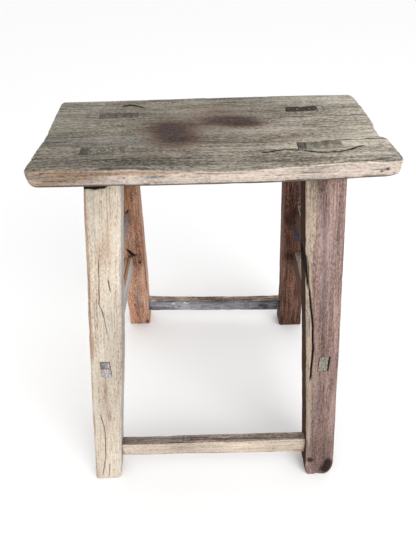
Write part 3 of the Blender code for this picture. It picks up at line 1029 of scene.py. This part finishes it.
def leg_surface(bar, plan, look, sizes):
    """A leg's skin: the bar, with ridges along the grain, chips on its edges and cracks."""
    half = plan.shoulder_half
    columns = spread(-1.0, 1.0, 1.2 * sizes.fine_spacing / half[0], 4 * MM / half[0], 6)
    rows = spread(-1.0, 1.0, 1.4 * sizes.fine_spacing / half[1], 4 * MM / half[1], 6)
    for route, width, _, _, _ in look.cracks:
        sides = [side for _, side in route]
        low, high = min(sides) - 1.5 * width, max(sides) + 1.5 * width
        columns = closer(columns, max(-0.98, low / half[0]), high / half[0], 0.5 * MM / half[0])
    points, faces = bar.surface(columns, rows)
    facing = normals(points, faces)
    own = bar.local(points)
    along = own[:, 0]
    seed = look.seed * 13
    ridges = waves(
        own, seed + 1, (0.18 * MM, (0.05, 0.0034, 0.0034)), (0.14 * MM, (0.018, 0.0018, 0.0018)))
    chips = 1.8 * MM * peaks(own, (0.018, 0.007, 0.007), seed + 3, 0.25) * bar.arris(points, 3.0 * MM)
    nicks = 0.7 * MM * peaks(own, (0.006, 0.004, 0.004), seed + 4, 0.45)
    foot = 1.2 * MM * peaks(own, (0.01, 0.006, 0.006), seed + 5, 0.0) * ease(-along, -0.012, -0.002)
    sunk = np.zeros(len(points))
    for route, width, depth, face, _ in look.cracks:
        sunk += depth * leg_crack(own, route, width, seed) * (facing @ np.array(face) > 0.4)
    body = along < plan.shoulder_height - 1 * MM
    points = points + facing * (ridges - (chips + nicks + foot) * body - sunk)[:, None]
    points[:, 2] = np.maximum(points[:, 2], 0.0)
    return points, faces


def leg_crack(own, route, width, seed):
    """A crack along a leg, which wavers a little from its route."""
    waver = 0.6 * MM * noise(own * (1, 0, 0), (0.012,) * 3, seed + 30)
    return crack(own[:, 0], own[:, 1] + waver, route, width, 5 * MM)


def leg_masks(name, bar, plan, look, points, facing):
    """Where a leg's wood is bare, grimy, stained or cracked, where shade is painted on it, and what is
    particular to each leg.
    """
    own = bar.local(points)
    along, side, rise = own.T
    seed = look.seed
    front = facing[:, 1] < -0.25
    body = along < plan.shoulder_height
    worn = ease(noise(own, (0.03, 0.02, 0.02), seed * 17 + 2), -0.3, 0.5)
    # painted shade on each leg just under the seat
    shade_under_seat = ease(along, plan.shoulder_height - 6 * MM, plan.shoulder_height)
    masks = {
        "tone": 0.22 * noise(own, (0.11, 0.03, 0.03), seed * 17 + 1),
        "bare": 0.75 * bar.arris(points, 2.6 * MM) * worn,
        "grime": 0.5 * shade_under_seat + 0.35 * ease(-along, -0.005, 0.0),
        "crack": 0.0 * along,
        "end": np.where(body, 0.0, 1.0) * (facing[:, 2] > 0.3),
    }
    for mask, marks in look.marks.items():
        masks[mask] = masks.get(mask, 0.0) + spots(along, side, marks) * front
    for route, width, _, face, darkness in look.cracks:
        masks["crack"] += darkness * leg_crack(own, route, width, seed * 13) * (facing @ np.array(face) > 0.3)
    if name == "front_left":
        # a greyer inner side, painted shade as a brown band on the rounded left edge, a darker top and a
        # painted shadow in the gap under the seat
        masks["cool"] = 0.9 * ease(facing[:, 0], 0.5, 0.9) * body
        # painted shade on the rounded left edge, as a broken brown band
        left_edge_shade = ease(noise(own, (0.05, 0.01, 0.01), 71), -0.5, 0.3)
        masks["accent"] += 0.75 * ease(-side, 0.0165, 0.0205) * left_edge_shade
        masks["tone"] -= 0.12 * ease(along, 0.38, 0.46)
        masks["paint"] = 0.55 * masks["end"]
        # painted shadow in the gap between the leg's top and the seat, in the crack mask
        gap_shadow_edge = 0.4672 + 0.0022 * ((side + 0.009) / 0.013) ** 2
        gap = ease(along - gap_shadow_edge, -0.0004, 0.0006) * ease(-side, -0.006, -0.003)
        masks["crack"] += 1.2 * gap * front
    if name == "front_right":
        # the pale strip along the left edge, painted shade on the inner side, a paler top and a dark foot
        inner = 0.0085 - 0.006 * ease(along, 0.35, 0.44)
        strip = ease(-side, inner, inner + 0.009) * ease(along, 0.03, 0.11)
        masks["accent"] = masks["accent"] + strip * (facing[:, 1] < 0.2) * (facing[:, 0] > -0.9)
        # painted shade on the inner side face
        masks["grime"] += 1.5 * ease(-facing[:, 0], 0.8, 0.95) * body
        masks["tone"] += 0.26 * ease(side, 0.003, 0.012) * ease(along, 0.2, 0.28)
        masks["tone"] -= 0.3 * ease(-along, -0.28, -0.12)
        masks["tone"] += 0.9 * masks["end"] * ease(-rise, -0.002, 0.004)
        masks["grime"] += 0.5 * ease(side, 0.01, 0.022) * (along < 0.03)
    if name == "back_left":
        # a paler foot, a dark patch half way up and painted shade along the right edge
        masks["tone"] += 0.44 * ease(-along, -0.22, -0.1)
        masks["tone"] -= 0.3 * bell(along, 0.335, 0.03) * bell(side, -0.002, 0.012)
        # painted shade along the right edge, where the side face is in shadow
        masks["grime"] += 0.8 * ease(side, 0.018, 0.02) * front * ease(along, 0.1, 0.16)
    if name == "back_right":
        # blue-black patches on the right of the front, painted shade under the seat at the top behind, a
        # darker foot
        dark_edge = ease(noise(own, (0.04, 0.012, 0.012), 91), -0.35, 0.25)
        masks["cool"] = 1.1 * ease(side, -0.0045, 0.0) * dark_edge * front * ease(along, 0.2, 0.25)
        masks["paint"] = 0.42 * masks["end"]
        # painted shade under the seat on the faces that don't face the front
        masks["grime"] += 0.7 * ease(along, 0.3, 0.46) * (facing[:, 1] > -0.7)
        masks["tone"] += 0.4 * ease(along, 0.12, 0.24)
    masks["tone"] += 0.7 * masks["end"] * noise(own, (0.004, 0.003, 0.003), seed * 17 + 3)
    grain = np.stack((along + seed, side + 0.37 * seed, rise), axis=1)
    return grain, masks


PLAIN_CORNERS = ((0.002, 0.004),) * 2 + ((0.0015, 0.002),) * 2     # (width, height) by face
FLAT = ((0.0, 0.0), (0.5, 0.0))                                     # a face without a swell


def leg_looks(sizes, shades):
    """The four legs, which come from four different timbers."""
    edge = sizes.leg_edge
    even = (edge, edge)
    front = (0.0, -1.0, 0.0)
    inner_front = (-0.6, -0.8, 0.0)
    return {
        "front_left": LegLook(
            seed=1,
            edges=((1.1 * edge, 0.9 * edge), (1.2 * edge, 0.9 * edge), even, even),
            swells=(
                ((0.0, 0.0022), (0.25, 0.0019), (0.47, 0.0004)),
                ((0.0, 0.0), (0.15, -0.0014), (0.25, 0.0), (0.36, -0.002), (0.47, -0.002)),
                ((0.0, 0.003), (0.06, 0.0)),
                ((0.0, -0.001), (0.3, -0.0018), (0.47, -0.003)),
            ),
            corners=PLAIN_CORNERS,
            cracks=(
                (((0.385, -0.008), (0.3723, -0.0078), (0.3259, -0.0084), (0.3171, -0.0055), (0.3023, -0.0026),
                  (0.2792, 0.0008)), 0.0006, 0.0012, front, 0.65),
                (((0.3604, 0.0022), (0.3574, 0.0028), (0.3404, 0.0063)), 0.0008, 0.0012, front, 0.75),
                (((0.14, -0.0115), (0.1291, -0.0101), (0.1067, -0.0057), (0.0711, -0.0052), (0.0527, -0.0056),
                  (0.0279, -0.0073), (0.006, -0.0115)), 0.0007, 0.0014, front, 0.65),
                (((0.033, 0.001), (0.004, -0.001)), 0.0008, 0.0012, front, 0.6),
            ),
            marks={
                "accent": (
                    (0.395, 0.0, 0.034, 0.014, 0.58), (0.262, -0.0195, 0.022, 0.004, 0.9),
                    (0.185, -0.003, 0.024, 0.004, 0.7), (0.135, 0.002, 0.014, 0.004, 0.8),
                    (0.32, -0.0205, 0.085, 0.0022, 0.8), (0.43, 0.004, 0.02, 0.0015, 0.5),
                    (0.445, -0.005, 0.016, 0.0012, 0.5), (0.06, -0.013, 0.03, 0.002, 0.5),
                ),
                "stain": ((0.38, 0.006, 0.002, 0.0012, 0.6), (0.13, 0.009, 0.003, 0.0012, 0.6)),
            },
            wood=Wood(
                *tones(shades, "front_left"), (0.42, 0.31, 0.23), accent=(0.42, 0.3, 0.22),
                cool=(0.44, 0.41, 0.375), end=(0.24, 0.22, 0.18), streaks=0.17, patches=0.22, fibres=0.32,
                grit=0.38, checks=0.45, flecks=0.3, coolness=0.2, roughness=0.76)),
        "front_right": LegLook(
            seed=2,
            edges=((1.0 * edge, 2.6 * edge), (2.2 * edge, 1.1 * edge), even, even),
            swells=(
                ((0.0, 0.0045), (0.07, 0.0012), (0.12, 0.0)),
                ((0.0, 0.0012), (0.47, 0.0018)),
                ((0.0, 0.005), (0.1, 0.0012), (0.2, 0.0)),
                ((0.0, 0.0), (0.25, -0.0018), (0.47, -0.001)),
            ),
            corners=((0.0035, 0.01), (0.0115, 0.026), (0.002, 0.003), (0.002, 0.003)),
            cracks=(
                (((0.38, -0.02), (0.3375, -0.0174), (0.2783, -0.0115), (0.2363, -0.0121), (0.1929, -0.0153)),
                 0.0014, 0.0034, inner_front, 1.2),
                (((0.406, 0.0215), (0.4018, 0.0173), (0.3985, 0.013)), 0.0009, 0.0012, front, 0.7),
            ),
            marks={
                "accent": (),
                "cool": (
                    (0.43, -0.0005, 0.05, 0.004, 0.55), (0.33, 0.002, 0.075, 0.003, 0.85),
                    (0.16, -0.002, 0.06, 0.0028, 0.6),
                ),
                "stain": (
                    (0.034, -0.0145, 0.005, 0.0045, 1.6), (0.026, 0.013, 0.01, 0.006, 1.6),
                    (0.013, 0.008, 0.008, 0.008, 1.5), (0.118, 0.0, 0.004, 0.001, 0.8),
                    (0.247, -0.0105, 0.008, 0.0015, 0.9),
                ),
            },
            # its grime colour is the brown of the painted shade on the inner side
            wood=Wood(
                *tones(shades, "front_right"), (0.42, 0.29, 0.24), accent=shades.sapwood[:],
                cool=(0.185, 0.145, 0.155), end=(0.2, 0.19, 0.155), stain=(0.012, 0.01, 0.012),
                halo=(0.1, 0.06, 0.05), grime=(0.042, 0.02, 0.01), streaks=0.28, patches=0.32,
                fibres=0.36, grit=0.44, checks=0.5, flecks=0.2, coolness=0.3, ring_scale=130.0,
                roughness=0.66, gloss=0.02)),
        "back_left": LegLook(
            seed=3,
            edges=(even,) * 4,
            swells=(
                ((0.0, 0.004), (0.1, 0.0012), (0.2, 0.0), (0.47, -0.0018)),
                ((0.0, 0.0014), (0.06, -0.0002), (0.2, -0.0008), (0.47, -0.0014)),
                ((0.0, 0.0034), (0.05, 0.0)),
                FLAT,
            ),
            corners=PLAIN_CORNERS,
            cracks=(
                (((0.238, 0.0025), (0.256, -0.0075)), 0.0026, 0.004, front, 1.5),
                (((0.344, 0.001), (0.349, 0.002)), 0.0018, 0.002, front, 1.3),
            ),
            marks={
                "accent": ((0.38, 0.002, 0.03, 0.006, 0.9), (0.3, -0.006, 0.03, 0.005, 0.7)),
                "stain": (
                    (0.2411, 0.0047, 0.004, 0.0035, 1.1), (0.2209, 0.0119, 0.005, 0.003, 1.1),
                    (0.4078, 0.011, 0.003, 0.002, 0.8), (0.24, -0.003, 0.009, 0.005, 0.8),
                    (0.0765, -0.0075, 0.005, 0.0025, 0.8), (0.01, 0.015, 0.008, 0.004, 1.2),
                    (0.346, -0.01, 0.006, 0.004, 0.7),
                ),
                "cool": ((0.1, 0.0, 0.06, 0.012, 0.3),),
            },
            wood=Wood(
                *tones(shades, "back_left"), (0.42, 0.3, 0.23), accent=(0.36, 0.18, 0.1),
                cool=(0.36, 0.28, 0.24), end=(0.15, 0.13, 0.115), halo=(0.12, 0.05, 0.03), patches=0.42,
                fibres=0.36, checks=0.6, flecks=0.25, roughness=0.64)),
        "back_right": LegLook(
            seed=4,
            edges=(even, even, (1.8 * edge, 1.2 * edge), even),
            swells=(
                ((0.0, 0.0062), (0.06, 0.0026), (0.12, 0.0)),
                ((0.0, 0.0038), (0.08, 0.0006), (0.14, 0.0)),
                ((0.0, 0.0054), (0.05, 0.0)),
                FLAT,
            ),
            corners=((0.006, 0.008), (0.002, 0.003), (0.0015, 0.002), (0.0015, 0.002)),
            cracks=(),
            marks={
                "stain": (
                    (0.3193, -0.012, 0.016, 0.01, 0.8), (0.2337, -0.009, 0.012, 0.01, 0.8),
                    (0.02, -0.019, 0.02, 0.004, 1.0),
                ),
            },
            wood=Wood(
                *tones(shades, "back_right"), (0.16, 0.085, 0.06), cool=(0.04, 0.036, 0.058),
                end=(0.06, 0.056, 0.056), stain=(0.018, 0.01, 0.008), halo=(0.045, 0.02, 0.012),
                streaks=0.4, patches=0.36, fibres=0.5, checks=0.7, flecks=0.22, coolness=0.4,
                roughness=0.62)),
    }


class STOOL_OT_make_legs(bpy.types.Operator):
    """Make the four legs, with their tenons and the mortises for the rails"""

    bl_idname = "stool.make_legs"
    bl_label = "Make legs"

    def execute(self, context):
        sizes, shades = context.scene.stool_sizes, context.scene.stool_colours
        rails = all_rails()
        for name, look in leg_looks(sizes, shades).items():
            plan = read_leg(name)
            bar = leg_bar(plan, look, sizes)
            leg = new_mesh("worn_" + name + "_leg", *leg_surface(bar, plan, look, sizes))
            cutters = []
            for rail, (_, *legs) in RAIL_LEGS.items():
                if name in legs:
                    mortise = rail_mortise(rail, rails[rail], legs.index(name), plan, sizes)
                    cutters.append(cutter_bar(rail + "_mortise", mortise))
            cut(leg, cutters)
            write_masks(leg, *leg_masks(name, bar, plan, look, places(leg), point_normals(leg)))
            finish_piece(leg, name + "_leg", wood_material(name + "_wood", look.wood, shades))
        return {"FINISHED"}


# ---------------------------------------------------------------- rails

@dataclass
class RailLook:
    """What is particular to one rail.

    bare_and_lit_way and shaded_way are the directions of its paler or differently coloured face,
    which on the left rails is painted light, and of its face with painted shade. sag is how far the
    middle of the top is worn down, swell holds how far the rail's underside and the two ends of its
    top stand out, and paint says how strong its specks are.
    """

    seed: int
    wood: Wood
    bare_and_lit_way: tuple = (0, 0, 0)
    shaded_way: tuple = (0, 0, 0)
    sag: float = 0.6 * MM
    swell: tuple = (0, 0, 0)
    paint: float = 0.0


def rail_looks(shades):
    """The six rails."""
    dark, mid, pale = tones(shades, "rail")
    _, red, red_pale = tones(shades, "back_left")
    # the brown of the painted shade on the right rails' inner faces
    inner_shade = (0.095, 0.05, 0.032)
    front, inner_left, inner_right = (0, -1, 0), (1, 0, 0), (-1, 0, 0)
    left = (shade(red, 0.4), red, red_pale)
    # the light grey of the left rails' inner faces is painted light
    left_lower = Wood(*left, (0.46, 0.43, 0.42), end=(0.36, 0.34, 0.35), roughness=0.7)
    left_upper = Wood(*left, (0.3, 0.23, 0.22), roughness=0.7)
    # the right rails' inner faces are darkened with painted shade
    right_lower = Wood(
        dark, (0.3, 0.24, 0.2), (0.46, 0.39, 0.34), pale, end=(0.3, 0.28, 0.23), grime=inner_shade,
        roughness=0.7)
    right_upper = Wood(dark, (0.34, 0.29, 0.26), (0.5, 0.44, 0.4), pale, grime=inner_shade, roughness=0.7)
    front_wood = Wood(
        dark, mid, pale, shades.rail_front[:], accent=(0.4, 0.28, 0.2), streaks=0.42, checks=1.0,
        ring_scale=260.0, roughness=0.74)
    back_wood = Wood(
        dark, shade(mid, 1.3), shade(pale, 1.22), (0.235, 0.235, 0.262), accent=(0.1, 0.085, 0.085),
        streaks=0.46, patches=0.5, roughness=0.7)
    return {
        "front_rail": RailLook(21, front_wood, front, sag=0.0, swell=(-0.0006, 0.002, 0.0074)),
        "back_rail": RailLook(22, back_wood, front, sag=0.0042, swell=(0.0028, 0.0042, 0.0048), paint=0.75),
        # the left rails' inner faces are painted light, the right rails' inner faces painted shade
        "left_lower_rail": RailLook(23, left_lower, inner_left),
        "left_upper_rail": RailLook(24, left_upper, inner_left),
        "right_lower_rail": RailLook(25, right_lower, shaded_way=inner_right),
        "right_upper_rail": RailLook(26, right_upper, shaded_way=inner_right),
    }


RAIL_LINES = (
    # (from, to) as shares of the rail, place across the top, width
    (0.05, 0.52, 0.0018, 0.0011), (0.34, 0.95, -0.0016, 0.0012), (0.08, 0.4, -0.0042, 0.001),
    (0.6, 0.9, 0.004, 0.001),
)


def rail_bar(name, plan, look, sizes):
    """A rail from tenon tip to tenon tip.

    Its sections lie along the line between the tips. They step from the tenon's size to the
    rail's at each leg's face, the edges vary by slow noise, and the top is worn down in the
    middle by a half wave. Returns the bar and the two faces' shares of the line.
    """
    side, up = plan.axes()
    start, stop = plan.ends
    total = stop[plan.run] - start[plan.run]
    _, first, second = RAIL_LEGS[name]
    faces = []
    for leg_name, tip, sign in ((first, start, 1), (second, stop, -1)):
        leg = read_leg(leg_name)
        face = leg.centre(tip[2])[plan.run] + sign * leg.half(plan.run, tip[2], sizes.foot_taper)
        faces.append((face - start[plan.run]) / total)
    faces = np.array(faces)
    even = np.linspace(0, 1, round(total / sizes.spacing) + 1)
    shares = np.unique(np.concatenate((even, faces - 0.0004, faces + 0.0004)))
    inside = (shares > faces[0]) & (shares < faces[1])
    half = np.where(inside[:, None], plan.half, plan.half - RAIL_SHOULDER)
    line = np.stack((shares * total, shares * 0, shares * 0), axis=1)
    low_swell, start_swell, stop_swell = look.swell
    swells = (0.0, 0.0, low_swell, np.interp(shares, faces, (start_swell, stop_swell)))
    reach = np.empty((len(shares), 4))
    radii = np.empty((len(shares), 4))
    for edge in range(4):
        wander = 0.4 * MM * noise(line, (0.05,) * 3, look.seed + edge)
        wander += 0.2 * MM * noise(line, (0.014,) * 3, look.seed + 50 + edge)
        reach[:, edge] = half[:, edge // 2] + (wander + swells[edge]) * inside
        vary = 1 + 0.4 * noise(line, (0.04,) * 3, look.seed + 90 + edge)
        radii[:, edge] = np.where(inside, sizes.rail_edge * vary, 0.6 * MM)
    reach[:, 3] -= look.sag * np.sin(shares * math.pi) * inside
    if name == "front_rail":
        radii[:, 2] += inside * 3.5 * MM * ease(shares, 0.55, 0.97)
    if name == WEDGED_RAIL:
        points = node_points(name)
        tip = points[np.argsort(points[:, plan.run])[:4]]
        reach[:, 3] = np.where(shares < faces[0], tip[:, 2].max() - start[2], reach[:, 3])
    centre = start + (stop - start) * shares[:, None]
    lean = np.interp(shares, (0, 1), plan.lean)
    return Bar(plan.run, side, up, centre, reach, radii, lean), faces


def rail_surface(bar, plan, look, sizes):
    """A rail's skin: the bar, with ridges along the grain and chips on its edges. The normals
    that it also returns are the plain bar's."""
    columns = spread(-1.0, 1.0, 1.2 * sizes.fine_spacing / plan.half[0], 0.42, 5)
    rows = spread(-1.0, 1.0, 1.2 * sizes.fine_spacing / plan.half[1], 0.25, 5)
    points, faces = bar.surface(columns, rows)
    facing = normals(points, faces)
    own = bar.local(points)
    ridges = waves(
        own, look.seed + 1, (0.16 * MM, (0.04, 0.003, 0.003)), (0.12 * MM, (0.02, 0.0018, 0.0018)))
    chips = 1.4 * MM * peaks(own, (0.016, 0.006, 0.006), look.seed + 3, 0.3)
    return points + facing * (ridges - chips * bar.arris(points, 2.5 * MM))[:, None], faces, facing


def rail_masks(plan, look, bar, points, facing, faces_at):
    """Where a rail's wood is bare, grimy, cracked or specked with paint, its painted lit and shaded sides,
    and its tenons' ends.
    """
    own = bar.local(points)
    along, side, rise = own.T
    total = plan.ends[1][plan.run] - plan.ends[0][plan.run]
    share = (along - plan.ends[0][plan.run]) / total
    near = np.minimum(share - faces_at[0], faces_at[1] - share) * total
    grime = 0.6 * bell(np.maximum(near, 0.0), 0.0, 0.003) * (near > -0.002)
    # painted shade on the rail's shaded side, the right rails' inner faces
    grime += 1.2 * ease(facing @ np.array(look.shaded_way, float), 0.35, 0.8)
    arris = bell(facing[:, 2], 0.7, 0.16) * (facing[:, 1] < 0)
    grime += 0.5 * arris * ease(noise(own, (0.03, 0.01, 0.01), look.seed + 8), 0.0, 0.5)
    grain = np.stack((along + look.seed, side + 0.21 * look.seed, rise), axis=1)
    tone = 0.25 * noise(own, (0.09, 0.03, 0.03), look.seed + 7)
    if look.paint:
        tone += 0.6 * noise(own, (0.01, 0.004, 0.004), look.seed + 9)
        tone += (0.45 * bell(share, 0.3, 0.2) - 0.8 * ease(share, 0.6, 0.85)) * (facing[:, 1] < -0.3)
    painted = ease(facing @ np.array((0.0, -1.0, 0.0)), 0.35, 0.8) * bell(share, 0.32, 0.18)
    waver = side + 0.0009 * noise(own * (1, 0, 0), (0.03,) * 3, look.seed + 13)
    cracked = sum(
        ease(share, first, first + 0.06) * ease(-share, -last, 0.06 - last) * bell(waver, across, width)
        for first, last, across, width in RAIL_LINES)
    band = ease(noise(own, (0.05, 0.004, 0.006), look.seed + 12), 0.25, 0.7)
    return grain, {
        "tone": tone,
        # the bare face, and on the left rails the painted light on their inner faces
        "bare": 1.1 * ease(facing @ np.array(look.bare_and_lit_way, float), 0.35, 0.8),
        "accent": 0.9 * band * (facing[:, 1] < -0.3),
        "grime": grime,
        "paint": look.paint * painted,
        "crack": 0.62 * cracked * ease(facing[:, 2], 0.5, 0.9),
        "end": np.where((near < 0) & (abs(facing[:, plan.run]) > 0.6), 1.0, 0.0),
    }


class STOOL_OT_make_rails(bpy.types.Operator):
    """Make the front and back rails and the four side rails"""

    bl_idname = "stool.make_rails"
    bl_label = "Make rails"

    def execute(self, context):
        sizes, shades = context.scene.stool_sizes, context.scene.stool_colours
        looks = rail_looks(shades)
        for name, plan in all_rails().items():
            look = looks[name]
            bar, faces_at = rail_bar(name, plan, look, sizes)
            points, faces, facing = rail_surface(bar, plan, look, sizes)
            rail = new_mesh("worn_" + name, points, faces)
            write_masks(rail, *rail_masks(plan, look, bar, points, facing, faces_at))
            finish_piece(rail, name, wood_material(name + "_wood", look.wood, shades))
        return {"FINISHED"}


# ---------------------------------------------------------------- wedges

WEDGE_EDGE = 0.5 * MM       # rounding of a wedge's long edges


def seat_wedge_bar(node):
    """A seat wedge as sections from its thin end to just under the seat's top."""
    low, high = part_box(node)
    thin_low, thin_high = slab(node, low.z, low.z + 0.5 * MM)
    thick_low, thick_high = slab(node, high.z - 0.5 * MM, high.z)
    heights = tip_heights(low.z, high.z, 10, 0.4 * MM)
    share = ((heights - low.z) / (high.z - low.z))[:, None]
    lows = thin_low + (thick_low - thin_low) * share
    highs = thin_high + (thick_high - thin_high) * share
    half = (highs - lows) / 2 - tip_draw(heights, high.z)
    centre = np.concatenate(((lows + highs) / 2, heights[:, None]), axis=1)
    return even_bar(2, X_AXIS, Y_AXIS, centre, half[:, [0, 0, 1, 1]], WEDGE_EDGE)


def rail_wedge_bar(node, plan):
    """The rail's wedge as sections from its thick outer end to its thin inner end."""
    points = node_points(node)
    order = np.argsort(points[:, plan.run])
    outer, inner = points[order[:4]], points[order[-4:]]
    share = np.linspace(0.0, 1.0, 16)[:, None]
    lows = outer.min(axis=0) + (inner.min(axis=0) - outer.min(axis=0)) * share
    highs = outer.max(axis=0) + (inner.max(axis=0) - outer.max(axis=0)) * share
    side, up = plan.axes()
    half = (highs - lows) / 2
    return even_bar(
        plan.run, side, up, (lows + highs) / 2, half[:, [0, 0, 2, 2]], WEDGE_EDGE, plan.lean[0])


def make_wedge(node, bar, seed, end_colour, shades):
    """A wedge: its bar with a rough, bruised surface, in the seat's wood with its own end colour."""
    points, faces = bar.surface(np.linspace(-1.0, 1.0, 14), np.linspace(-1.0, 1.0, 18))
    facing = normals(points, faces)
    rough = 0.22 * MM * noise(points, (0.003,) * 3, seed) - 0.1 * MM
    wedge = new_mesh("worn_" + node, points + facing * rough[:, None], faces)
    write_masks(wedge, bar.local(points) + (seed, 0.0, 0.0), {
        "tone": 0.3 * noise(points, (0.004,) * 3, seed + 1),
        "grime": 0.1 + 0.3 * noise(points, (0.005,) * 3, seed + 2),
        "end": np.where(abs(facing[:, bar.run]) > 0.6, 1.0, 0.0),
    })
    dark, mid, pale = tones(shades, "seat")
    wood = Wood(dark, mid, pale, pale, end=end_colour, grit=0.4, roughness=0.75)
    finish_piece(wedge, node, wood_material(node + "_wood", wood, shades))


class STOOL_OT_make_wedges(bpy.types.Operator):
    """Make the wedges in the seat's mortises and the wedge over the side rail's tenon"""

    bl_idname = "stool.make_wedges"
    bl_label = "Make wedges"

    def execute(self, context):
        shades = context.scene.stool_colours
        ends = {
            "front_left": (0.075, 0.07, 0.06), "front_right": (0.085, 0.08, 0.072),
            "back_left": (0.12, 0.1, 0.09), "back_right": (0.24, 0.22, 0.19),
        }
        for order, name in enumerate(LEGS):
            node = name + "_seat_wedge"
            make_wedge(node, seat_wedge_bar(node), 60 + order, ends[name], shades)
        node = WEDGED_RAIL + "_wedge"
        bar = rail_wedge_bar(node, all_rails()[WEDGED_RAIL])
        make_wedge(node, bar, 70, (0.3, 0.28, 0.28), shades)
        return {"FINISHED"}


# ---------------------------------------------------------------- stage

CAMERA_PLACE = (-0.008, -0.476, 0.7092)
CAMERA_TILT = math.radians(42.826)      # below the horizon
CAMERA_TURN = math.radians(0.3705)      # to the right of +Y
CAMERA_ROLL = math.radians(-1.538)
SENSOR = 36.0
LENS = 27.891892
FLOOR_REACH = 9.0
FLOOR_LINES = 13
SOFTBOX = {"place": (1.1, -1.5, 1.5), "target": (0.0, 0.0, 0.3), "size": 1.4, "watts": 20.0}


class STOOL_OT_make_stage(bpy.types.Operator):
    """Make the pale floor, the soft light and the camera"""

    bl_idname = "stool.make_stage"
    bl_label = "Make stage"

    def execute(self, context):
        shades = context.scene.stool_colours
        reach = np.linspace(-FLOOR_REACH, FLOOR_REACH, FLOOR_LINES)
        grid = np.stack(np.meshgrid(reach, reach, indexing="ij"), axis=-1).reshape(-1, 2)
        points = np.concatenate((grid, np.zeros((len(grid), 1))), axis=1)
        number = np.arange(len(grid)).reshape(FLOOR_LINES, FLOOR_LINES)
        floor = new_mesh("floor", points, sheet(number))
        nodes = Nodes("floor_paint")
        nodes.shader.inputs["Base Color"].default_value = (*shades.floor[:], 1.0)
        nodes.shader.inputs["Roughness"].default_value = 0.9
        nodes.shader.inputs["Specular IOR Level"].default_value = 0.1
        floor.data.materials.append(nodes.material)

        scene = context.scene
        world = bpy.data.worlds.new("studio")
        world.use_nodes = True
        back = world.node_tree.nodes["Background"]
        back.inputs["Color"].default_value = (1.0, 1.0, 1.0, 1.0)
        back.inputs["Strength"].default_value = 1.0
        scene.world = world
        self.light("front_softbox", **SOFTBOX)

        data = bpy.data.cameras.new("camera")
        data.sensor_width = SENSOR
        data.lens = LENS
        data.clip_start = 0.02
        data.clip_end = 60.0
        camera = bpy.data.objects.new("camera", data)
        camera.rotation_mode = "XYZ"
        camera.location = CAMERA_PLACE
        camera.rotation_euler = (math.pi / 2 - CAMERA_TILT, 0.0, -CAMERA_TURN)
        scene.collection.objects.link(camera)
        context.view_layer.update()
        turned = camera.rotation_euler.to_matrix() @ Matrix.Rotation(CAMERA_ROLL, 3, "Z")
        camera.rotation_euler = turned.to_euler("XYZ")
        scene.camera = camera
        scene.view_settings.view_transform = "Standard"
        return {"FINISHED"}

    @staticmethod
    def light(name, place, target, size, watts):
        """A square soft light that faces a point."""
        data = bpy.data.lights.new(name, "AREA")
        data.shape = "SQUARE"
        data.size = size
        data.energy = watts
        lamp = bpy.data.objects.new(name, data)
        lamp.location = place
        way = Vector([end - start for start, end in zip(place, target)])
        lamp.rotation_euler = way.to_track_quat("-Z", "Y").to_euler()
        bpy.context.scene.collection.objects.link(lamp)


# ---------------------------------------------------------------- panel and registering

class STOOL_PT_panel(bpy.types.Panel):
    """Lists the stool's pieces, sizes and colours in the sidebar"""

    bl_idname = "STOOL_PT_panel"
    bl_label = "Milking stool"
    bl_space_type = "VIEW_3D"
    bl_region_type = "UI"
    bl_category = "Stool"

    def draw(self, context):
        layout = self.layout
        for operator in OPERATORS:
            layout.operator(operator.bl_idname)
        for group in (context.scene.stool_sizes, context.scene.stool_colours):
            column = layout.column(align=True)
            for name in group.__annotations__:
                column.prop(group, name)


OPERATORS = (
    STOOL_OT_make_stage, STOOL_OT_make_seat, STOOL_OT_make_legs, STOOL_OT_make_rails,
    STOOL_OT_make_wedges,
)
CLASSES = (StoolSizes, StoolColours, *OPERATORS, STOOL_PT_panel)


def register():
    for kind in CLASSES:
        bpy.utils.register_class(kind)
    bpy.types.Scene.stool_sizes = PointerProperty(type=StoolSizes)
    bpy.types.Scene.stool_colours = PointerProperty(type=StoolColours)


def unregister():
    del bpy.types.Scene.stool_colours
    del bpy.types.Scene.stool_sizes
    for kind in reversed(CLASSES):
        bpy.utils.unregister_class(kind)


def main():
    """Registers the add-on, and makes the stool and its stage."""
    register()
    bpy.ops.stool.make_stage()
    bpy.ops.stool.make_seat()
    bpy.ops.stool.make_legs()
    bpy.ops.stool.make_rails()
    bpy.ops.stool.make_wedges()


if __name__ == "__main__":
    main()
